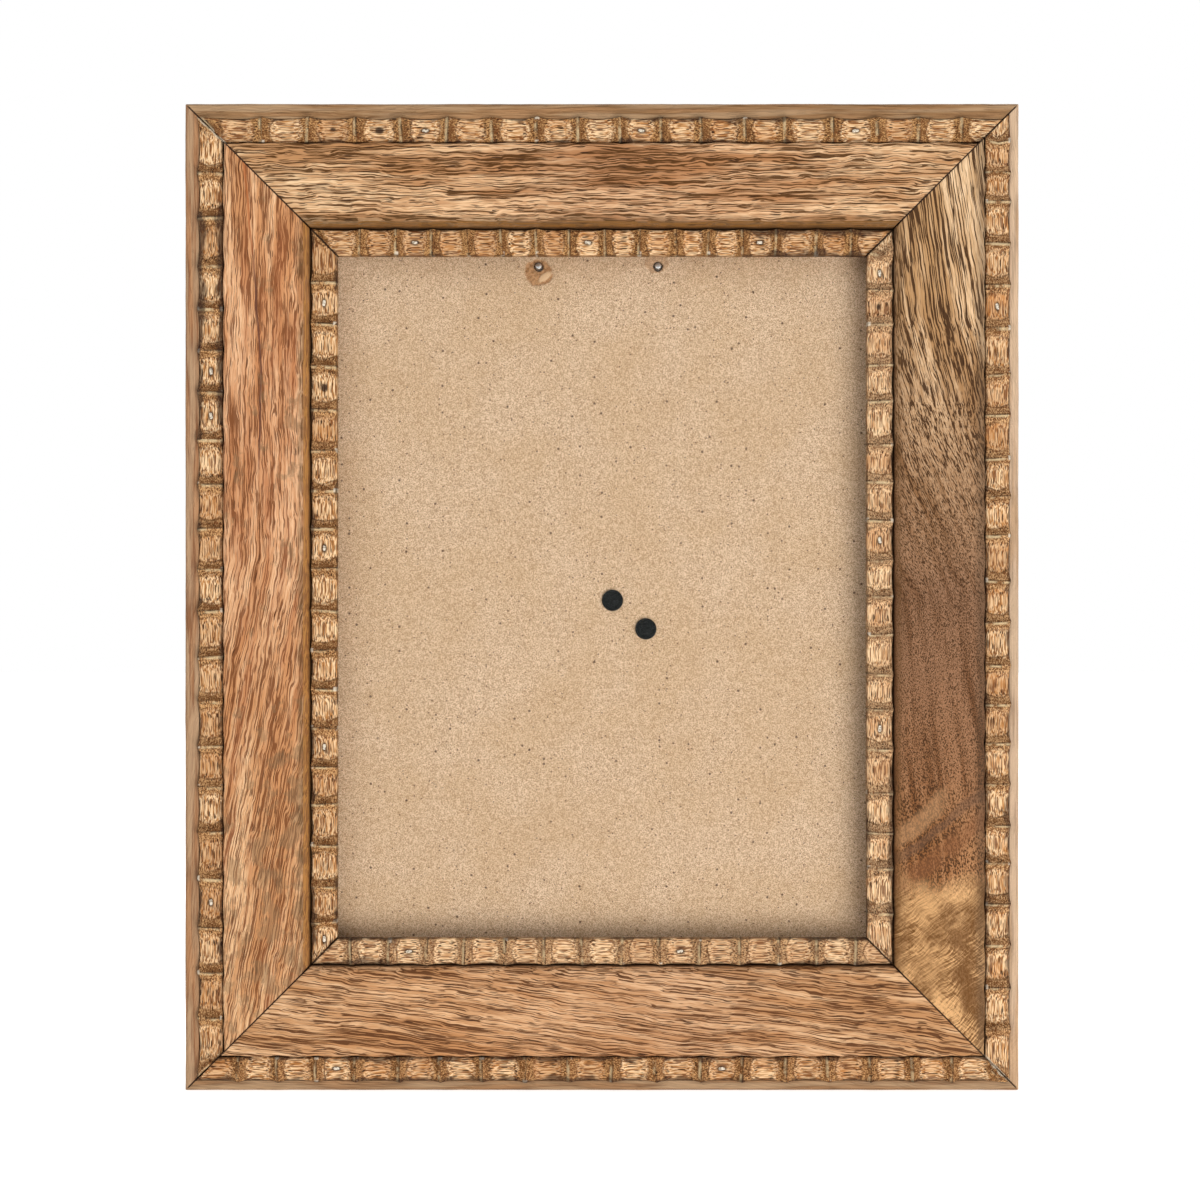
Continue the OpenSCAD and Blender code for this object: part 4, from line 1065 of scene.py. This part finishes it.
def board_rivets(material):
    """Two black rivets: a dished made head with a raised rim in front, a hollow set end behind."""
    head = [(1.6, -3.4), (1.6, -0.02), (3.88, 0.0), (3.9, 0.4), (3.86, 0.75), (3.7, 1.0), (3.45, 1.1),
            (3.2, 1.04), (3.0, 0.85), (2.7, 0.6), (2.2, 0.55), (1.6, 0.62), (1.1, 0.82), (0.5, 1.12),
            (0.0, 1.15)]
    set_end = [(1.6, 0.0), (2.75, 0.0), (2.75, 0.12), (2.55, 0.55), (2.2, 0.78), (1.5, 0.8), (1.2, 0.7),
               (0.9, 0.4), (0.0, 0.38)]
    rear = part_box("board_rivets")[1][1] - SHEET * MM
    made = []
    for sign in (-1, 1):
        x, z = (mid + sign * part * RIVET_GAP / 2 for mid, part in zip(RIVET_MID, HINGE_LINE))
        made += [lathe(head, (x * MM, (REAR_Y - BOARD_FRONT) * MM, z * MM), (0, -1, 0), 48),
                 lathe(set_end, (x * MM, rear, z * MM), (0, 1, 0), 40)]
    new_piece("board_rivet_heads", "board_rivets", *joined(made), material, "black_steel")


def hanger_nails(material):
    """Two nails: clipped, slightly bent points in front, domed heads on the hanger behind."""
    front = [(1.18, -1.5), (1.18, 0.35), (1.2, 0.8), (1.05, 1.12), (0.75, 1.25), (0.3, 1.3), (0.0, 1.31)]
    back = [(1.2, -0.6), (2.4, 0.0), (2.4, 0.08), (2.25, 0.38), (1.8, 0.6), (1.0, 0.68), (0.0, 0.7)]
    made = []
    rand = random.Random(3)
    for x in NAIL_X:
        lean = Vector((rand.uniform(-0.12, 0.12), -1, rand.uniform(0.05, 0.2))).normalized()
        for profile, level, axis in ((front, BOARD_FRONT, lean), (back, BOARD_REAR - SHEET, (0, 1, 0))):
            made.append(lathe(profile, (x * MM, (REAR_Y - level) * MM, NAIL_Z * MM), axis, 28))
    new_piece("hanger_nail_ends", "hanger_nails", *joined(made), material, "zinc_steel")


def dress(node, material):
    """Gives a CAD node that is right as it is its material."""
    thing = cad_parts[node]
    if not thing.data.materials:
        thing.data.materials.append(material)
    for slot in thing.material_slots:
        slot.material = material


def soften(node, material, body, radius):
    """Stands a copy of a CAD node with rounded arrises (mm) in its place."""
    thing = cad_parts[node]
    mesh = thing.data.copy()
    mesh.transform(thing.matrix_world)
    mesh.materials.clear()
    mesh.materials.append(material)
    bevel = enrol(f"{node}_eased", mesh, body, node).modifiers.new("soft_arris", "BEVEL")
    bevel.width = radius * MM
    bevel.segments = 2
    bevel.limit_method = "ANGLE"
    bevel.angle_limit = radians(40)


def build():
    strips = {(ring, side): Strip(ring, side) for ring in ("outer", "inner") for side in range(4)}
    for side in range(4):
        rail(side, strips["outer", side])
    for strip in strips.values():
        bead(strip)
    zinc, black = zinc_steel(), black_steel()
    brads(strips, worn_zinc())
    backboard(fibreboard())
    board_rivets(black)
    hanger_nails(zinc)
    for node, material in (("corner_nails", zinc), ("glass_pane", clear_glass()), ("hinge_pin", zinc),
                           ("leg_rivets", black), ("button_screws", zinc)):
        dress(node, material)
    soften("hanger_plate", zinc, "frame", 0.1)
    soften("hinge_board_leaf", black, "frame", 0.12)
    soften("hinge_leg_leaf", black, "leg", 0.12)
    soften("easel_leg", leg_board(), "leg", 0.3)
    for name in ("upper_left", "lower_left", "upper_right", "lower_right"):
        soften(f"button_{name}", black, f"button_{name}_body", 0.18)


# Camera, floor and light

# The camera stands CAMERA_AWAY before the plane of the frame's outer edge, where it sees VIEW_W (mm)
CAMERA_X, CAMERA_Z, CAMERA_AWAY, VIEW_W, FILM = -0.72, 176.42, 700, 432, 36
AMBIENT, FLOOR_GLOW, FLOOR_HALF = 0.55, 0.70, 4


def lamp(name, location, size, power, colour=(1, 1, 1)):
    """A round soft lamp aimed at the middle of the frame."""
    light = bpy.data.lights.new(name, "AREA")
    light.shape = "DISK"
    light.size = size
    light.energy = power
    light.color = colour
    made = put(name, light)
    made.location = location
    middle = Vector((0, 0, OUT_H / 2 * MM))
    made.rotation_euler = (middle - made.location).to_track_quat("-Z", "Y").to_euler()
    made.visible_camera = False


def white_rays(m):
    """1 for camera, glossy and transmission rays, which see the background white, and 0 for others."""
    seen = m.node("LightPath", {}, "Is Camera Ray")
    return seen.at_least(seen.other("Is Glossy Ray")).at_least(seen.other("Is Transmission Ray"))


def stage():
    scene = bpy.context.scene
    data = bpy.data.cameras.new("camera")
    data.sensor_width = FILM
    data.lens = FILM * CAMERA_AWAY / VIEW_W
    camera = put("camera", data)
    camera.location = (CAMERA_X * MM, -(REAR_Y + CAMERA_AWAY) * MM, CAMERA_Z * MM)
    camera.rotation_euler = (pi / 2, 0, 0)
    scene.camera = camera
    scene.view_settings.view_transform = "Standard"
    world = bpy.data.worlds.new("world")
    scene.world = world
    world.use_nodes = True
    sky = Nodes(world.node_tree)
    back = sky.tree.nodes["Background"]
    sky.plug(back.inputs["Color"], (1, 1, 1, 1))
    sky.plug(back.inputs["Strength"], sky.node("MapRange", {"Value": white_rays(sky), "To Min": AMBIENT}))

    mesh = bpy.data.meshes.new("floor")
    mesh.from_pydata([(x * FLOOR_HALF, y * FLOOR_HALF, 0) for x, y in ((-1, -1), (1, -1), (1, 1), (-1, 1))],
                     [], [(0, 1, 2, 3)])
    floor = put("floor", mesh)
    m = Material("floor")
    # White to the camera through its own glow, on top of the light that the frame's shadow takes away
    m.set(Base_Color=(0.9, 0.9, 0.9, 1), Roughness=0.9, Specular_IOR_Level=0.0,
          Emission_Color=(1, 1, 1, 1), Emission_Strength=white_rays(m) * FLOOR_GLOW)
    mesh.materials.append(m.mat)
    floor.visible_shadow = False

    lamp("key", (1.10, -1.90, -0.78), 1.80, 42.0, (1, 0.99, 0.97))
    lamp("fill", (-0.9, -1.3, 1.1), 1.2, 4.0)
    lamp("back_fill", (0.6, 1.4, 0.9), 1.2, 9.0)


build()
stage()
